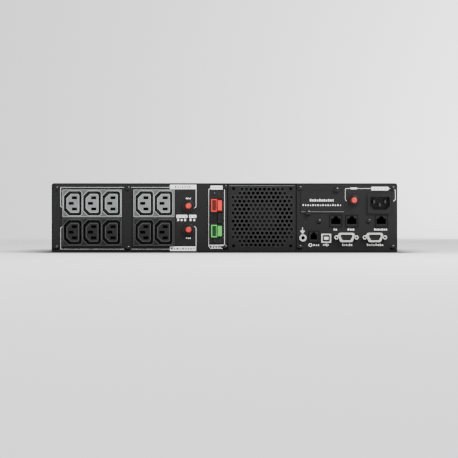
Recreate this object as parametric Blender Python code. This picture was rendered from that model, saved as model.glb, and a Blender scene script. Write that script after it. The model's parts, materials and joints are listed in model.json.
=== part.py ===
"""A 2U rack uninterruptible power supply, as the separate pieces it comes apart into on a bench.

Frame: metres, +Z up. The rear panel faces -Y and the front bezel faces +Y. The origin is the middle of the
footprint, on the surface that the case stands on. Outlines are drawn in a local XY plane and raised along
local Z, which points out of the rear panel (rear pieces) or out of the front (bezel pieces).
"""

import math

import bmesh
import bpy
from mathutils import Matrix

MM = 0.001

# Driving sizes of the case
WIDTH = 433 * MM
HEIGHT = 87 * MM
CASE_DEPTH = 430 * MM
BEZEL_DEPTH = 20 * MM
REAR_REACH = 7 * MM  # how far the reset buttons stand out of the rear panel
FRONT_REACH = 1 * MM  # how far the power button stands out of the bezel
SHEET = 1.2 * MM
GAP = 0.3 * MM
SMALL_STEP = 0.1 * MM

OVERALL_DEPTH = REAR_REACH + CASE_DEPTH + BEZEL_DEPTH + FRONT_REACH
REAR_Y = -OVERALL_DEPTH / 2 + REAR_REACH
CASE_FRONT_Y = REAR_Y + CASE_DEPTH
HALF = WIDTH / 2
INNER_HALF = HALF - SHEET - GAP
DECK_Z = SHEET + GAP  # where the pieces that stand on the floor sheet begin
LID_Z = HEIGHT - SHEET - GAP  # where the pieces under the cover end
BAY_WALL_X = -3 * MM  # the seam between the battery side and the electronics side

# Rear panel: what lies where, as (x, z)
LEFT_PANEL_END = 3.6 * MM
RIGHT_PANEL_START = 90.3 * MM
SEAM = 0.9 * MM  # the gap beside the grille
GRILLE_RECESS = 0.8 * MM
PANEL_CORNER = 1.6 * MM

OUTLET_PITCH = 24.1 * MM
GANG_HEIGHT = 34.3 * MM
GANG_MARGIN = 0.9 * MM  # the gang's body is this much smaller than its flange, all round
OUTLET_ROWS = {"grey": 61.6 * MM, "black": 25.5 * MM}
OUTLET_GANGS = {3: (-165.6 * MM, 74.0 * MM), 2: (-88.2 * MM, 51.2 * MM)}
OUTLET_DEPTH = 20 * MM
FLANGE_RISE = 2.0 * MM
GROOVE = (22.2 * MM, 30.4 * MM, 6.2 * MM, 3.2 * MM)  # width, height, cut corner, round corner
INSERT = (16.0 * MM, 23.6 * MM, 5.4 * MM, 2.0 * MM)
PIN_SPREAD = 7.0 * MM  # line and neutral stand this far either side of the middle
PIN_OFFSET = 2.0 * MM  # they stand this far off the middle line, and earth as far the other way
SLOT = (5.0 * MM, 2.3 * MM)
SLOT_DEPTH = 15 * MM

BREAKERS = {
    "upper": (-45.1 * MM, 58.2 * MM, 7.7 * MM),
    "lower": (-45.1 * MM, 28.4 * MM, 7.7 * MM),
    "input": (162.1 * MM, 65.3 * MM, 6.8 * MM),
}
BREAKER_BORE = 4.7 * MM
BREAKER_NECK = 6.0 * MM
BUTTON_RADIUS = 3.8 * MM

POLE_PORT = (-10.6 * MM, 43.0 * MM)
POLE_PITCH = 16.1 * MM
POLE_PLATE = (16.6 * MM, 66.6 * MM, 0.65 * MM, 1.5 * MM)  # width, height, and its middle from the port's
POLE_HEIGHT = 15.6 * MM
POLE_BOX = (-6.0 * MM, 1.4 * MM)  # the hollow half, from and to, across the port
POLE_TONGUE = (1.9 * MM, 7.3 * MM)
POLE_WALL = 1.3 * MM
POLE_REACH = 5.0 * MM

FAN_CENTRE = (47.3 * MM, 44.4 * MM)
FAN_SIDE = 80 * MM
FAN_BORE = 38 * MM
FAN_DEPTH = 25 * MM
FAN_HUB = 19 * MM
FAN_SCREW = 71.5 * MM / 2
FAN_BACK = -(GRILLE_RECESS + SHEET + GAP)
MOTOR_BASE = 3 * MM
BLADES = 7
VENT_PITCH = (5.62 * MM, 5.0 * MM)
VENT_RADIUS = 2.35 * MM
VENT_ROWS = 15
VENT_COUNTS = {7: 10, 6: 11}  # the two shortened rows at the top and at the bottom

COVER_PLATE = (122.9 * MM, 63.9 * MM, 54.5 * MM, 26.6 * MM)  # x, z, width, height
CARD_SLOT = (46 * MM, 19 * MM)
COVER_SCREWS = {"left": (104.5 * MM, 49.3 * MM), "right": (140.1 * MM, 78.3 * MM)}
SCREW_SHANK = 1.5 * MM

INLET = (194.5 * MM, 61.7 * MM)
INLET_FLANGE = (29.7 * MM, 25.2 * MM)
INLET_MOUTH = (24.3 * MM, 16.0 * MM, 4.4 * MM, 1.6 * MM)
INLET_DEPTH = 17 * MM
INLET_PIN = (2.0 * MM, 4.0 * MM)

JACK_Z = 39.5 * MM
JACKS = {"network_jack_in": 139.5 * MM, "network_jack_out": 159.5 * MM, "sensor_jack": 196.3 * MM}
JACK_BODY = (15.4 * MM, 15.0 * MM)
SHUTDOWN_JACK = (111.8 * MM, 19.8 * MM)
SHUTDOWN_BODY = (13.2 * MM, 14.4 * MM)
JACK_DEPTH = 15 * MM
JACK_RISE = 0.5 * MM
USB = (127.4 * MM, 17.9 * MM)
USB_SHELL = (12.2 * MM, 11.1 * MM)
D_PORTS = {"serial": (152.6 * MM, 18.9 * MM), "relay": (188.1 * MM, 18.9 * MM)}
GROUND = (98.3 * MM, 18.3 * MM)

# Inside the case
BATTERY = (94 * MM, 151 * MM, 65 * MM)
TRAY_X = (-212 * MM, -6 * MM)
TRAY_Y = (-106 * MM, 205 * MM)
TRAY_Z = 1.8 * MM

# Front bezel: seen from the front, so local X runs to -X
DISPLAY = (107 * MM, 49 * MM, 66 * MM, 34 * MM)
POWER_BUTTON = (50 * MM, 49 * MM, 7.0 * MM)
MENU_BUTTONS = {"scroll_button": 121 * MM, "select_button": 93 * MM}
MENU_Z = 19 * MM
MENU_SIZE = (15 * MM, 6 * MM)
BEZEL_WALL = 2.5 * MM
BEZEL_VENT = (3.0 * MM, 44 * MM)
BEZEL_VENT_PITCH = 9 * MM
RIGHT_VENT_X = 160 * MM
RIGHT_VENTS = 5


# ---- materials -------------------------------------------------------------------------------------------


def finish(name, colour, roughness, metallic=0.0):
    material = bpy.data.materials.new(name)
    material.use_nodes = True
    shader = material.node_tree.nodes["Principled BSDF"]
    shader.inputs["Base Color"].default_value = (*colour, 1.0)
    shader.inputs["Roughness"].default_value = roughness
    shader.inputs["Metallic"].default_value = metallic
    return material


def make_finishes():
    return {
        "powder_coat": finish("powder_coat", (0.030, 0.030, 0.031), 0.55, 0.2),
        "steel": finish("steel", (0.55, 0.56, 0.57), 0.4, 1.0),
        "nickel": finish("nickel", (0.72, 0.71, 0.69), 0.25, 1.0),
        "grey_plastic": finish("grey_plastic", (0.42, 0.44, 0.44), 0.5),
        "black_plastic": finish("black_plastic", (0.016, 0.016, 0.018), 0.45),
        "red_plastic": finish("red_plastic", (0.75, 0.06, 0.05), 0.35),
        "green_plastic": finish("green_plastic", (0.13, 0.55, 0.16), 0.35),
        "bezel_plastic": finish("bezel_plastic", (0.022, 0.022, 0.024), 0.4),
        "board": finish("board", (0.03, 0.16, 0.07), 0.5),
        "aluminium": finish("aluminium", (0.7, 0.71, 0.72), 0.35, 1.0),
        "core_iron": finish("core_iron", (0.22, 0.20, 0.19), 0.5, 0.8),
        "coil_tape": finish("coil_tape", (0.75, 0.55, 0.12), 0.5),
        "battery_case": finish("battery_case", (0.05, 0.05, 0.055), 0.5),
        "display_glass": finish("display_glass", (0.02, 0.03, 0.04), 0.08),
    }


# ---- outlines, as lists of (x, y) ------------------------------------------------------------------------


def arc(centre_x, centre_y, radius, start, end, steps):
    """Points from start to end, in degrees."""
    angles = [math.radians(start + (end - start) * i / steps) for i in range(steps + 1)]
    return [(centre_x + radius * math.cos(a), centre_y + radius * math.sin(a)) for a in angles]


def circle(radius, sides=16, x=0.0, y=0.0):
    return arc(x, y, radius, 0, 360, sides)[:-1]


def rectangle(width, height, x=0.0, y=0.0, radius=0.0, steps=3):
    """A rectangle round (x, y), with round corners if it has a radius."""
    half_w, half_h = width / 2, height / 2
    if not radius:
        return [(x - half_w, y - half_h), (x + half_w, y - half_h), (x + half_w, y + half_h), (x - half_w, y + half_h)]
    points = []
    for sign_x, sign_y, start in ((1, 1, 0), (-1, 1, 90), (-1, -1, 180), (1, -1, 270)):
        corner_x, corner_y = x + sign_x * (half_w - radius), y + sign_y * (half_h - radius)
        points += arc(corner_x, corner_y, radius, start, start + 90, steps)
    return points


def span(low, high):
    """A rectangle from its low corner (x, y) to its high corner."""
    (x0, y0), (x1, y1) = low, high
    return [(x0, y0), (x1, y0), (x1, y1), (x0, y1)]


def connector_outline(width, height, cut, radius, x=0.0, y=0.0):
    """The outline of a mains connector: cut corners on the earth side (-X), round ones on the other."""
    half_w, half_h = width / 2, height / 2
    points = arc(x + half_w - radius, y + half_h - radius, radius, 90, 0, 3)
    points += arc(x + half_w - radius, y - half_h + radius, radius, 0, -90, 3)
    points += [(x - half_w + cut, y - half_h), (x - half_w, y - half_h + cut)]
    points += [(x - half_w, y + half_h - cut), (x - half_w + cut, y + half_h)]
    return points


def quarter_turned(points):
    """The outline turned by 90 degrees, so that its -X side faces down."""
    return [(-y, x) for x, y in points]


def d_outline(width, height, radius, slant=1.8 * MM):
    """A D-shaped outline, wider at the top by slant on each side."""
    half_w, half_h = width / 2 - radius, height / 2 - radius
    points = []
    for sign_x, sign_y, start in ((1, 1, 0), (-1, 1, 90), (-1, -1, 180), (1, -1, 270)):
        corner_x = sign_x * (half_w + slant * (sign_y - 1) / 2)
        points += arc(corner_x, sign_y * half_h, radius, start, start + 90, 3)
    return points


def jack_outline(width, height, steps):
    """A modular jack's opening, with its latch way at the top as steps of (half width, rise)."""
    points = [(-width / 2, 0.0), (width / 2, 0.0), (width / 2, height)]
    right = []
    top = height
    for half_width, rise in steps:
        right += [(half_width, top), (half_width, top + rise)]
        top += rise
    return points + right + [(-x, y) for x, y in reversed(right)] + [(-width / 2, height)]


# ---- solids ----------------------------------------------------------------------------------------------


def prism(outline, low, high, holes=()):
    """The outline, less its holes, raised from z = low to z = high."""
    bm = bmesh.new()
    for loop in (outline, *holes):
        corners = [bm.verts.new((x, y, low)) for x, y in loop]
        for start, end in zip(corners, corners[1:] + corners[:1]):
            bm.edges.new((start, end))
    bmesh.ops.triangle_fill(bm, use_beauty=True, use_dissolve=False, edges=bm.edges[:])
    raised = bmesh.ops.extrude_face_region(bm, geom=bm.faces[:])["geom"]
    top = [item for item in raised if isinstance(item, bmesh.types.BMVert)]
    bmesh.ops.translate(bm, vec=(0, 0, high - low), verts=top)
    bmesh.ops.recalc_face_normals(bm, faces=bm.faces[:])
    return to_mesh(bm)


def to_mesh(bm):
    mesh = bpy.data.meshes.new("shape")
    bm.to_mesh(mesh)
    bm.free()
    return mesh


def block(low, high):
    """A box from its low corner to its high corner, both (x, y, z)."""
    return prism(span(low[:2], high[:2]), low[2], high[2])


def gathered(meshes):
    """Meshes that don't touch each other, as one mesh."""
    bm = bmesh.new()
    for mesh in meshes:
        bm.from_mesh(mesh)
        bpy.data.meshes.remove(mesh)
    return to_mesh(bm)


def boolean(mesh, tool, operation):
    body = bpy.data.objects.new("body", mesh)
    helper = bpy.data.objects.new("helper", tool)
    for obj in (body, helper):
        bpy.context.scene.collection.objects.link(obj)
    modifier = body.modifiers.new(operation, "BOOLEAN")
    modifier.operation = operation
    modifier.object = helper
    graph = bpy.context.evaluated_depsgraph_get()
    made = bpy.data.meshes.new_from_object(body.evaluated_get(graph))
    for obj in (body, helper):
        data = obj.data
        bpy.data.objects.remove(obj)
        bpy.data.meshes.remove(data)
    return made


def joined(mesh, *others):
    for other in others:
        mesh = boolean(mesh, other, "UNION")
    return mesh


def cut(mesh, *tools):
    for tool in tools:
        mesh = boolean(mesh, tool, "DIFFERENCE")
    return mesh


def place(name, mesh, material, location=(0, 0, 0), rotation=(0, 0, 0), round_piece=False):
    obj = bpy.data.objects.new(name, mesh)
    mesh.name = name
    mesh.materials.clear()
    mesh.materials.append(material)
    if round_piece:
        mesh.shade_smooth()
        mesh.set_sharp_from_angle(angle=math.radians(35))
    obj.location = location
    obj.rotation_euler = rotation
    bpy.context.scene.collection.objects.link(obj)
    return obj


def place_rear(name, mesh, material, x=0.0, z=0.0, round_piece=False):
    """Local X is X, local Y is Z, and local Z points out of the rear panel, from its outer face."""
    return place(name, mesh, material, (x, REAR_Y, z), (math.pi / 2, 0, 0), round_piece)


def place_front(name, mesh, material, x=0.0, z=0.0, round_piece=False):
    """Local X is -X, local Y is Z, and local Z points out of the front, from the case's front edge."""
    return place(name, mesh, material, (x, CASE_FRONT_Y, z), (math.pi / 2, 0, math.pi), round_piece)


# ---- case ------------------------------------------------------------------------------------------------


def make_chassis_base(finishes):
    """The floor sheet with its two side flanges and, on the electronics side, the front wall."""
    flange_top = 26 * MM
    rear = REAR_Y + SHEET + GRILLE_RECESS + GAP
    floor = block((-HALF, REAR_Y, 0), (HALF, CASE_FRONT_Y, SHEET))
    walls = []
    for low, high in ((-INNER_HALF, -INNER_HALF + SHEET), (INNER_HALF - SHEET, INNER_HALF)):
        walls.append(block((low, rear, SHEET / 2), (high, CASE_FRONT_Y - SMALL_STEP, flange_top)))
    front = block((BAY_WALL_X, CASE_FRONT_Y - SHEET, SHEET / 2), (INNER_HALF - 2 * MM, CASE_FRONT_Y, LID_Z))
    place("chassis_base", joined(floor, *walls, front), finishes["powder_coat"])


def cover_profile():
    """The folded cover seen from behind: a top and two sides, with bent corners."""
    outer, inner = 3 * MM, 3 * MM - SHEET
    points = [(-HALF, DECK_Z), (-HALF + SHEET, DECK_Z)]
    points += arc(-HALF + 3 * MM, HEIGHT - 3 * MM, inner, 180, 90, 4)
    points += arc(HALF - 3 * MM, HEIGHT - 3 * MM, inner, 90, 0, 4)
    points += [(HALF - SHEET, DECK_Z), (HALF, DECK_Z)]
    points += arc(HALF - 3 * MM, HEIGHT - 3 * MM, outer, 0, 90, 4)
    points += arc(-HALF + 3 * MM, HEIGHT - 3 * MM, outer, 90, 180, 4)
    return points


def make_top_cover(finishes):
    """The cover, with a row of cooling slots in the electronics side, beside the transformer."""
    cover = prism(cover_profile(), -CASE_DEPTH, 0)
    slot_count, slot_width, slot_pitch = 12, 3 * MM, 8 * MM
    first_slot = -CASE_DEPTH + 100 * MM
    slots = []
    for i in range(slot_count):
        start = first_slot + i * slot_pitch
        slots.append(block((HALF - 3 * MM, 26 * MM, start), (HALF + 1 * MM, 62 * MM, start + slot_width)))
    place_rear("top_cover", cut(cover, gathered(slots)), finishes["powder_coat"], round_piece=True)


def make_outlet_panel(finishes):
    """The left rear sheet: four gang cut-outs, two breaker holes and the battery port's window."""
    margin = GANG_MARGIN - GAP
    holes = []
    for x, width in OUTLET_GANGS.values():
        for z in OUTLET_ROWS.values():
            holes.append(rectangle(width - 2 * margin, GANG_HEIGHT - 2 * margin, x, z))
    for name in ("upper", "lower"):
        x, z, _ = BREAKERS[name]
        holes.append(circle(BREAKER_NECK + GAP, 16, x, z))
    port_x, port_z = POLE_PORT
    low = (port_x + POLE_BOX[0] - GAP, port_z - 1.5 * POLE_PITCH - GAP)
    high = (port_x + POLE_TONGUE[1] + GAP, port_z + 1.5 * POLE_PITCH + GAP)
    holes.append(span(low, high))
    outline = [(-INNER_HALF, DECK_Z), (LEFT_PANEL_END, DECK_Z), (LEFT_PANEL_END, LID_Z)]
    outline += [(-INNER_HALF + PANEL_CORNER, LID_Z), (-INNER_HALF, LID_Z - PANEL_CORNER)]
    sheet = prism(outline, -SHEET, 0, holes)
    place_rear("outlet_panel", sheet, finishes["powder_coat"])


def make_io_panel(finishes):
    """The right rear sheet: card slot, inlet, breaker and the signal ports."""
    x, z, _, _ = COVER_PLATE
    holes = [rectangle(*CARD_SLOT, x, z)]
    holes += [circle(SCREW_SHANK + GAP, 10, *spot) for spot in COVER_SCREWS.values()]
    x, z, _ = BREAKERS["input"]
    holes.append(circle(BREAKER_NECK + GAP, 16, x, z))
    holes.append(rectangle(INLET_MOUTH[0] + 3.0 * MM, INLET_MOUTH[1] + 3.6 * MM, *INLET))
    for x in JACKS.values():
        holes.append(rectangle(JACK_BODY[0] + 2 * GAP, JACK_BODY[1] + 2 * GAP, x, JACK_Z))
    holes.append(rectangle(SHUTDOWN_BODY[0] + 2 * GAP, SHUTDOWN_BODY[1] + 2 * GAP, *SHUTDOWN_JACK))
    holes.append(rectangle(USB_SHELL[0] + 2 * GAP, USB_SHELL[1] + 2 * GAP, *USB))
    for x, z in D_PORTS.values():
        holes.append(rectangle(18.6 * MM, 9.6 * MM, x, z))
    holes.append(circle(2.3 * MM, 12, *GROUND))
    outline = [(RIGHT_PANEL_START, DECK_Z), (INNER_HALF, DECK_Z), (INNER_HALF, LID_Z - PANEL_CORNER)]
    outline += [(INNER_HALF - PANEL_CORNER, LID_Z), (RIGHT_PANEL_START, LID_Z)]
    sheet = prism(outline, -SHEET, 0, holes)
    place_rear("io_panel", sheet, finishes["powder_coat"])


def vent_centres():
    """The honeycomb: rows of 13 and 14 in turn, and shorter ones where the fan's screws are."""
    pitch_x, pitch_z = VENT_PITCH
    middle = VENT_ROWS // 2
    for row in range(-middle, middle + 1):
        count = VENT_COUNTS.get(abs(row), 14 if row % 2 else 13)
        for i in range(count):
            yield (i - (count - 1) / 2) * pitch_x, row * pitch_z


def make_fan_grille(finishes):
    """The middle rear sheet, set back a little, with its honeycomb and the fan's screw holes."""
    fan_x, fan_z = FAN_CENTRE
    low = (LEFT_PANEL_END + SEAM - fan_x, DECK_Z - fan_z)
    high = (RIGHT_PANEL_START - SEAM - fan_x, LID_Z - fan_z)
    holes = []
    for x, y in vent_centres():
        holes.append([(x + px, y + py) for px, py in arc(0, 0, VENT_RADIUS, 30, 330, 5)])
    for x in (-FAN_SCREW, FAN_SCREW):
        for y in (-FAN_SCREW, FAN_SCREW):
            holes.append(circle(2.0 * MM, 8, x, y))
    sheet = prism(span(low, high), -GRILLE_RECESS - SHEET, -GRILLE_RECESS, holes)
    place_rear("fan_grille", sheet, finishes["powder_coat"], fan_x, fan_z)


def make_divider(finishes):
    """The steel wall between the batteries and the electronics, on its folded foot."""
    foot = 12 * MM
    profile = [
        (BAY_WALL_X, DECK_Z),
        (BAY_WALL_X + foot, DECK_Z),
        (BAY_WALL_X + foot, DECK_Z + SHEET),
        (BAY_WALL_X + SHEET, DECK_Z + SHEET),
        (BAY_WALL_X + SHEET, LID_Z),
        (BAY_WALL_X, LID_Z),
    ]
    start, length = 100 * MM, 320 * MM
    place_rear("centre_divider", prism(profile, -start - length, -start), finishes["steel"])


# ---- mains outlets ---------------------------------------------------------------------------------------


def gang_offsets(count):
    return [(i - (count - 1) / 2) * OUTLET_PITCH for i in range(count)]


def make_outlet_gang(finishes, colour, count):
    """One gang: the frame, with a connector-shaped way for each plug, and the core that fills their middles."""
    x, width = OUTLET_GANGS[count]
    z = OUTLET_ROWS[colour]
    material = finishes[f"{colour}_plastic"]
    body = rectangle(width - 2 * GANG_MARGIN, GANG_HEIGHT - 2 * GANG_MARGIN)
    flange = rectangle(width, GANG_HEIGHT)
    ways = [connector_outline(*GROOVE, x=offset) for offset in gang_offsets(count)]
    frame = joined(
        prism(flange, GAP, GAP + FLANGE_RISE, ways),
        prism(body, -OUTLET_DEPTH, GAP + SMALL_STEP, ways),
    )
    place_rear(f"outlet_frame_{colour}_{count}", frame, material, x, z)

    back, front = -OUTLET_DEPTH - GAP, FLANGE_RISE - GAP
    plate = prism(body, back - 4 * MM, back)
    inserts = [prism(connector_outline(*INSERT, x=offset), back - 1 * MM, front) for offset in gang_offsets(count)]
    slots = []
    for offset in gang_offsets(count):
        for slot_x, slot_y in ((PIN_OFFSET, PIN_SPREAD), (PIN_OFFSET, -PIN_SPREAD), (-PIN_OFFSET, 0)):
            outline = rectangle(*SLOT, offset + slot_x, slot_y)
            slots.append(prism(outline, front - SLOT_DEPTH, front + 1 * MM))
    core = cut(joined(plate, gathered(inserts)), gathered(slots))
    place_rear(f"outlet_core_{colour}_{count}", core, material, x, z)


# ---- circuit breakers ------------------------------------------------------------------------------------


def make_breaker(finishes, name):
    """A push-to-reset breaker: its body with the collar that clamps the panel, and its red button."""
    x, z, collar = BREAKERS[name]
    body = joined(
        prism(rectangle(15 * MM, 26 * MM), -32 * MM, -8 * MM),
        prism(circle(BREAKER_NECK, 18), -9 * MM, GAP + SMALL_STEP),
        prism(circle(collar, 24), GAP, 2.6 * MM),
    )
    body = cut(body, prism(circle(BREAKER_BORE, 18), -14 * MM, 5 * MM))
    place_rear(f"breaker_body_{name}", body, finishes["black_plastic"], x, z, round_piece=True)

    bm = bmesh.new()
    bm.from_mesh(prism(circle(BUTTON_RADIUS), -7 * MM, REAR_REACH))
    tip = [edge for edge in bm.edges if all(v.co.z > 0 for v in edge.verts)]
    rim = [edge for edge in tip if edge.calc_face_angle(0) > math.radians(45)]
    bmesh.ops.bevel(bm, geom=rim, offset=0.8 * MM, segments=1, affect="EDGES")
    place_rear(f"reset_button_{name}", to_mesh(bm), finishes["red_plastic"], x, z, round_piece=True)


# ---- external battery port -------------------------------------------------------------------------------


def make_battery_port(finishes):
    """Three stacked pole housings, each a hollow box and a solid tongue, in a dark retaining plate."""
    port_x, port_z = POLE_PORT
    window = span((POLE_BOX[0] - GAP, -1.5 * POLE_PITCH - GAP), (POLE_TONGUE[1] + GAP, 1.5 * POLE_PITCH + GAP))
    plate = prism(rectangle(*POLE_PLATE), GAP, 1.6 * MM, [window])
    place_rear("battery_port_plate", plate, finishes["black_plastic"], port_x, port_z)

    half = POLE_HEIGHT / 2
    base_low, base_high = -25 * MM, -4 * MM
    for step, colour in ((1, "red"), (0, "black"), (-1, "green")):
        box = prism(span((POLE_BOX[0], -half), (POLE_BOX[1], half)), base_high - 1 * MM, POLE_REACH)
        tongue = prism(span((POLE_TONGUE[0], -6.2 * MM), (POLE_TONGUE[1], 6.2 * MM)), base_high - 1 * MM, POLE_REACH)
        base = prism(span((POLE_BOX[0], -half), (POLE_TONGUE[1], half)), base_low, base_high)
        low = (POLE_BOX[0] + POLE_WALL, -half + POLE_WALL)
        high = (POLE_BOX[1] - POLE_WALL, half - POLE_WALL)
        hollow = prism(span(low, high), base_high - 14 * MM, POLE_REACH + 1 * MM)
        housing = cut(joined(base, box, tongue), hollow)
        material = finishes[f"{colour}_plastic"]
        place_rear(f"battery_pole_{colour}", housing, material, port_x, port_z + step * POLE_PITCH)


# ---- fan -------------------------------------------------------------------------------------------------


def blade():
    """One twisted blade, from inside the hub to just short of the bore."""
    radii = (FAN_HUB - 1.5 * MM, 27 * MM, FAN_BORE - 1.3 * MM)
    sweep, rise, thickness = math.radians(40), 15 * MM, 1.4 * MM
    middle = FAN_BACK - MOTOR_BASE - 11.5 * MM
    bm = bmesh.new()
    layers = []
    for side in (-0.5, 0.5):
        rows = []
        for radius in radii:
            row = []
            for part in (-0.5, 0.0, 0.5):
                angle = part * sweep
                height = middle + part * rise + side * thickness
                row.append(bm.verts.new((radius * math.cos(angle), radius * math.sin(angle), height)))
            rows.append(row)
        layers.append(rows)
    for rows in layers:
        for i in range(2):
            for j in range(2):
                bm.faces.new((rows[i][j], rows[i + 1][j], rows[i + 1][j + 1], rows[i][j + 1]))
    rim = [(0, 0), (1, 0), (2, 0), (2, 1), (2, 2), (1, 2), (0, 2), (0, 1)]
    for (i, j), (k, m) in zip(rim, rim[1:] + rim[:1]):
        bm.faces.new((layers[0][i][j], layers[0][k][m], layers[1][k][m], layers[1][i][j]))
    bmesh.ops.recalc_face_normals(bm, faces=bm.faces[:])
    return to_mesh(bm)


def make_fan(finishes):
    """The axial fan behind the grille: frame with its motor base and struts, and the rotor that spins."""
    outline = rectangle(FAN_SIDE, FAN_SIDE, radius=4 * MM, steps=2)
    ring = prism(outline, FAN_BACK - FAN_DEPTH, FAN_BACK, [circle(FAN_BORE, 32)])
    base = prism(circle(FAN_HUB - 0.5 * MM, 20), FAN_BACK - MOTOR_BASE, FAN_BACK)
    struts = []
    for quarter in range(4):
        strut = block((FAN_HUB - 2 * MM, -1.6 * MM, 0.0), (FAN_BORE + 1.5 * MM, 1.6 * MM, MOTOR_BASE - GAP))
        turn = Matrix.Rotation(math.radians(45 + 90 * quarter), 4, "Z")
        strut.transform(Matrix.Translation((0, 0, FAN_BACK - MOTOR_BASE + GAP / 2)) @ turn)
        struts.append(strut)
    frame = joined(ring, joined(base, gathered(struts)))
    place_rear("fan_frame", frame, finishes["black_plastic"], *FAN_CENTRE, round_piece=True)

    hub_front = FAN_BACK - MOTOR_BASE - 2 * GAP
    hub = prism(circle(FAN_HUB, 28), FAN_BACK - FAN_DEPTH + 2 * MM, hub_front)
    blades = []
    for i in range(BLADES):
        one = blade()
        one.transform(Matrix.Rotation(math.tau * i / BLADES, 4, "Z"))
        blades.append(one)
    place_rear("fan_rotor", joined(hub, gathered(blades)), finishes["black_plastic"], *FAN_CENTRE, round_piece=True)


# ---- card slot, inlet and signal ports -------------------------------------------------------------------


def make_card_slot_cover(finishes):
    x, z, width, height = COVER_PLATE
    plate = prism(rectangle(width, height), GAP, GAP + SHEET)
    notches = [circle(SCREW_SHANK + GAP, 10, screw_x - x, screw_z - z) for screw_x, screw_z in COVER_SCREWS.values()]
    plate = cut(plate, gathered([prism(notch, 0, 3 * MM) for notch in notches]))
    place_rear("expansion_cover", plate, finishes["powder_coat"], x, z)
    head = 3.4 * MM
    for side, (screw_x, screw_z) in COVER_SCREWS.items():
        low = GAP + SHEET + GAP
        screw = joined(
            prism(circle(head, 16), low, low + 2.6 * MM),
            prism(circle(SCREW_SHANK, 10), -6 * MM, low + SMALL_STEP),
        )
        name = f"expansion_screw_{side}"
        place_rear(name, screw, finishes["steel"], screw_x, screw_z, round_piece=True)


def make_inlet(finishes):
    """The appliance inlet: a flanged cup with the cut corners at the bottom, and its three pins."""
    width, height, cut_corner, radius = INLET_MOUTH
    mouth = quarter_turned(connector_outline(height, width, cut_corner, radius))
    wall = 1.1 * MM
    shell = rectangle(width + 2 * wall, height + 2 * wall)
    housing = joined(
        prism(rectangle(*INLET_FLANGE, -0.6 * MM, -0.2 * MM, 1.2 * MM), GAP, 2.4 * MM),
        prism(shell, -INLET_DEPTH - 3 * MM, GAP + SMALL_STEP),
    )
    pins = {"line": (-PIN_SPREAD, PIN_OFFSET), "neutral": (PIN_SPREAD, PIN_OFFSET), "earth": (0.0, -PIN_OFFSET)}
    pin_ways = [prism(rectangle(*(size + 2 * GAP for size in INLET_PIN), *spot), -30 * MM, 0) for spot in pins.values()]
    housing = cut(housing, prism(mouth, -INLET_DEPTH, 5 * MM), gathered(pin_ways))
    place_rear("power_inlet", housing, finishes["black_plastic"], *INLET)
    for name, (pin_x, pin_z) in pins.items():
        pin = prism(rectangle(*INLET_PIN), -28 * MM, -1.5 * MM)
        place_rear(f"inlet_pin_{name}", pin, finishes["nickel"], INLET[0] + pin_x, INLET[1] + pin_z)


def make_jacks(finishes):
    """The modular jacks: closed cups with a latch way at the top."""
    opening = jack_outline(11.8 * MM, 7.0 * MM, ((3.1 * MM, 1.7 * MM), (1.8 * MM, 1.3 * MM)))
    opening = [(x, y - 3.9 * MM) for x, y in opening]
    for name, x in JACKS.items():
        body = prism(rectangle(*JACK_BODY), -JACK_DEPTH, JACK_RISE)
        body = cut(body, prism(opening, -13 * MM, 2 * MM))
        place_rear(name, body, finishes["black_plastic"], x, JACK_Z)
    opening = jack_outline(8.2 * MM, 6.2 * MM, ((2.4 * MM, 1.6 * MM), (1.4 * MM, 1.2 * MM)))
    opening = [(x, y - 3.4 * MM) for x, y in opening]
    body = prism(rectangle(*SHUTDOWN_BODY), -JACK_DEPTH, JACK_RISE)
    body = cut(body, prism(opening, -13 * MM, 2 * MM))
    place_rear("shutdown_jack", body, finishes["black_plastic"], *SHUTDOWN_JACK)


def make_usb_port(finishes):
    """A square data port: a nickel shell with its upper corners cut, round a central tongue."""
    width, height = USB_SHELL
    half_w, half_h, corner = 4.3 * MM, 4.0 * MM, 1.6 * MM
    mouth = [
        (-half_w, -half_h),
        (half_w, -half_h),
        (half_w, half_h - corner),
        (half_w - corner, half_h),
        (-half_w + corner, half_h),
        (-half_w, half_h - corner),
    ]
    shell = cut(prism(rectangle(width, height), -14 * MM, 1.0 * MM), prism(mouth, -10 * MM, 3 * MM))
    tongue = prism(rectangle(5.6 * MM, 3.2 * MM), -11 * MM, 0.2 * MM)
    place_rear("usb_port", joined(shell, tongue), finishes["nickel"], *USB)


def make_d_ports(finishes):
    """The two D ports: a stepped nickel shell and, inside it, the black contact insert."""
    for name, (x, z) in D_PORTS.items():
        mouth = d_outline(15.8 * MM, 7.4 * MM, 1.6 * MM)
        shell = joined(
            prism(d_outline(20.8 * MM, 11.5 * MM, 2.8 * MM), GAP, 1.5 * MM, [mouth]),
            prism(d_outline(17.4 * MM, 9.0 * MM, 2.2 * MM), -10 * MM, 5.8 * MM, [mouth]),
        )
        place_rear(f"{name}_port_shell", shell, finishes["nickel"], x, z)
        insert = prism(d_outline(15.2 * MM, 6.8 * MM, 1.4 * MM), -12 * MM, 4.6 * MM)
        place_rear(f"{name}_port_insert", insert, finishes["black_plastic"], x, z)


def make_ground_stud(finishes):
    """The bonding point: a flanged nickel collar with a threaded hole."""
    stud = joined(prism(circle(4.6 * MM, 24), GAP, 1.8 * MM), prism(circle(2.0 * MM, 12), -6 * MM, GAP + SMALL_STEP))
    stud = cut(stud, prism(circle(1.3 * MM, 12), -5 * MM, 4 * MM))
    place_rear("ground_stud", stud, finishes["nickel"], *GROUND, round_piece=True)


# ---- electronics -----------------------------------------------------------------------------------------


def make_boards(finishes):
    board = 1.6 * MM
    low, high = (10 * MM, -185 * MM, 7 * MM), (208 * MM, 45 * MM, 7 * MM + board)
    place("main_board", block(low, high), finishes["board"])
    behind_ports = -23 * MM
    outline = span((101 * MM, 10 * MM), (209 * MM, 48 * MM))
    place_rear("interface_board", prism(outline, behind_ports - board, behind_ports), finishes["board"])


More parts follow.
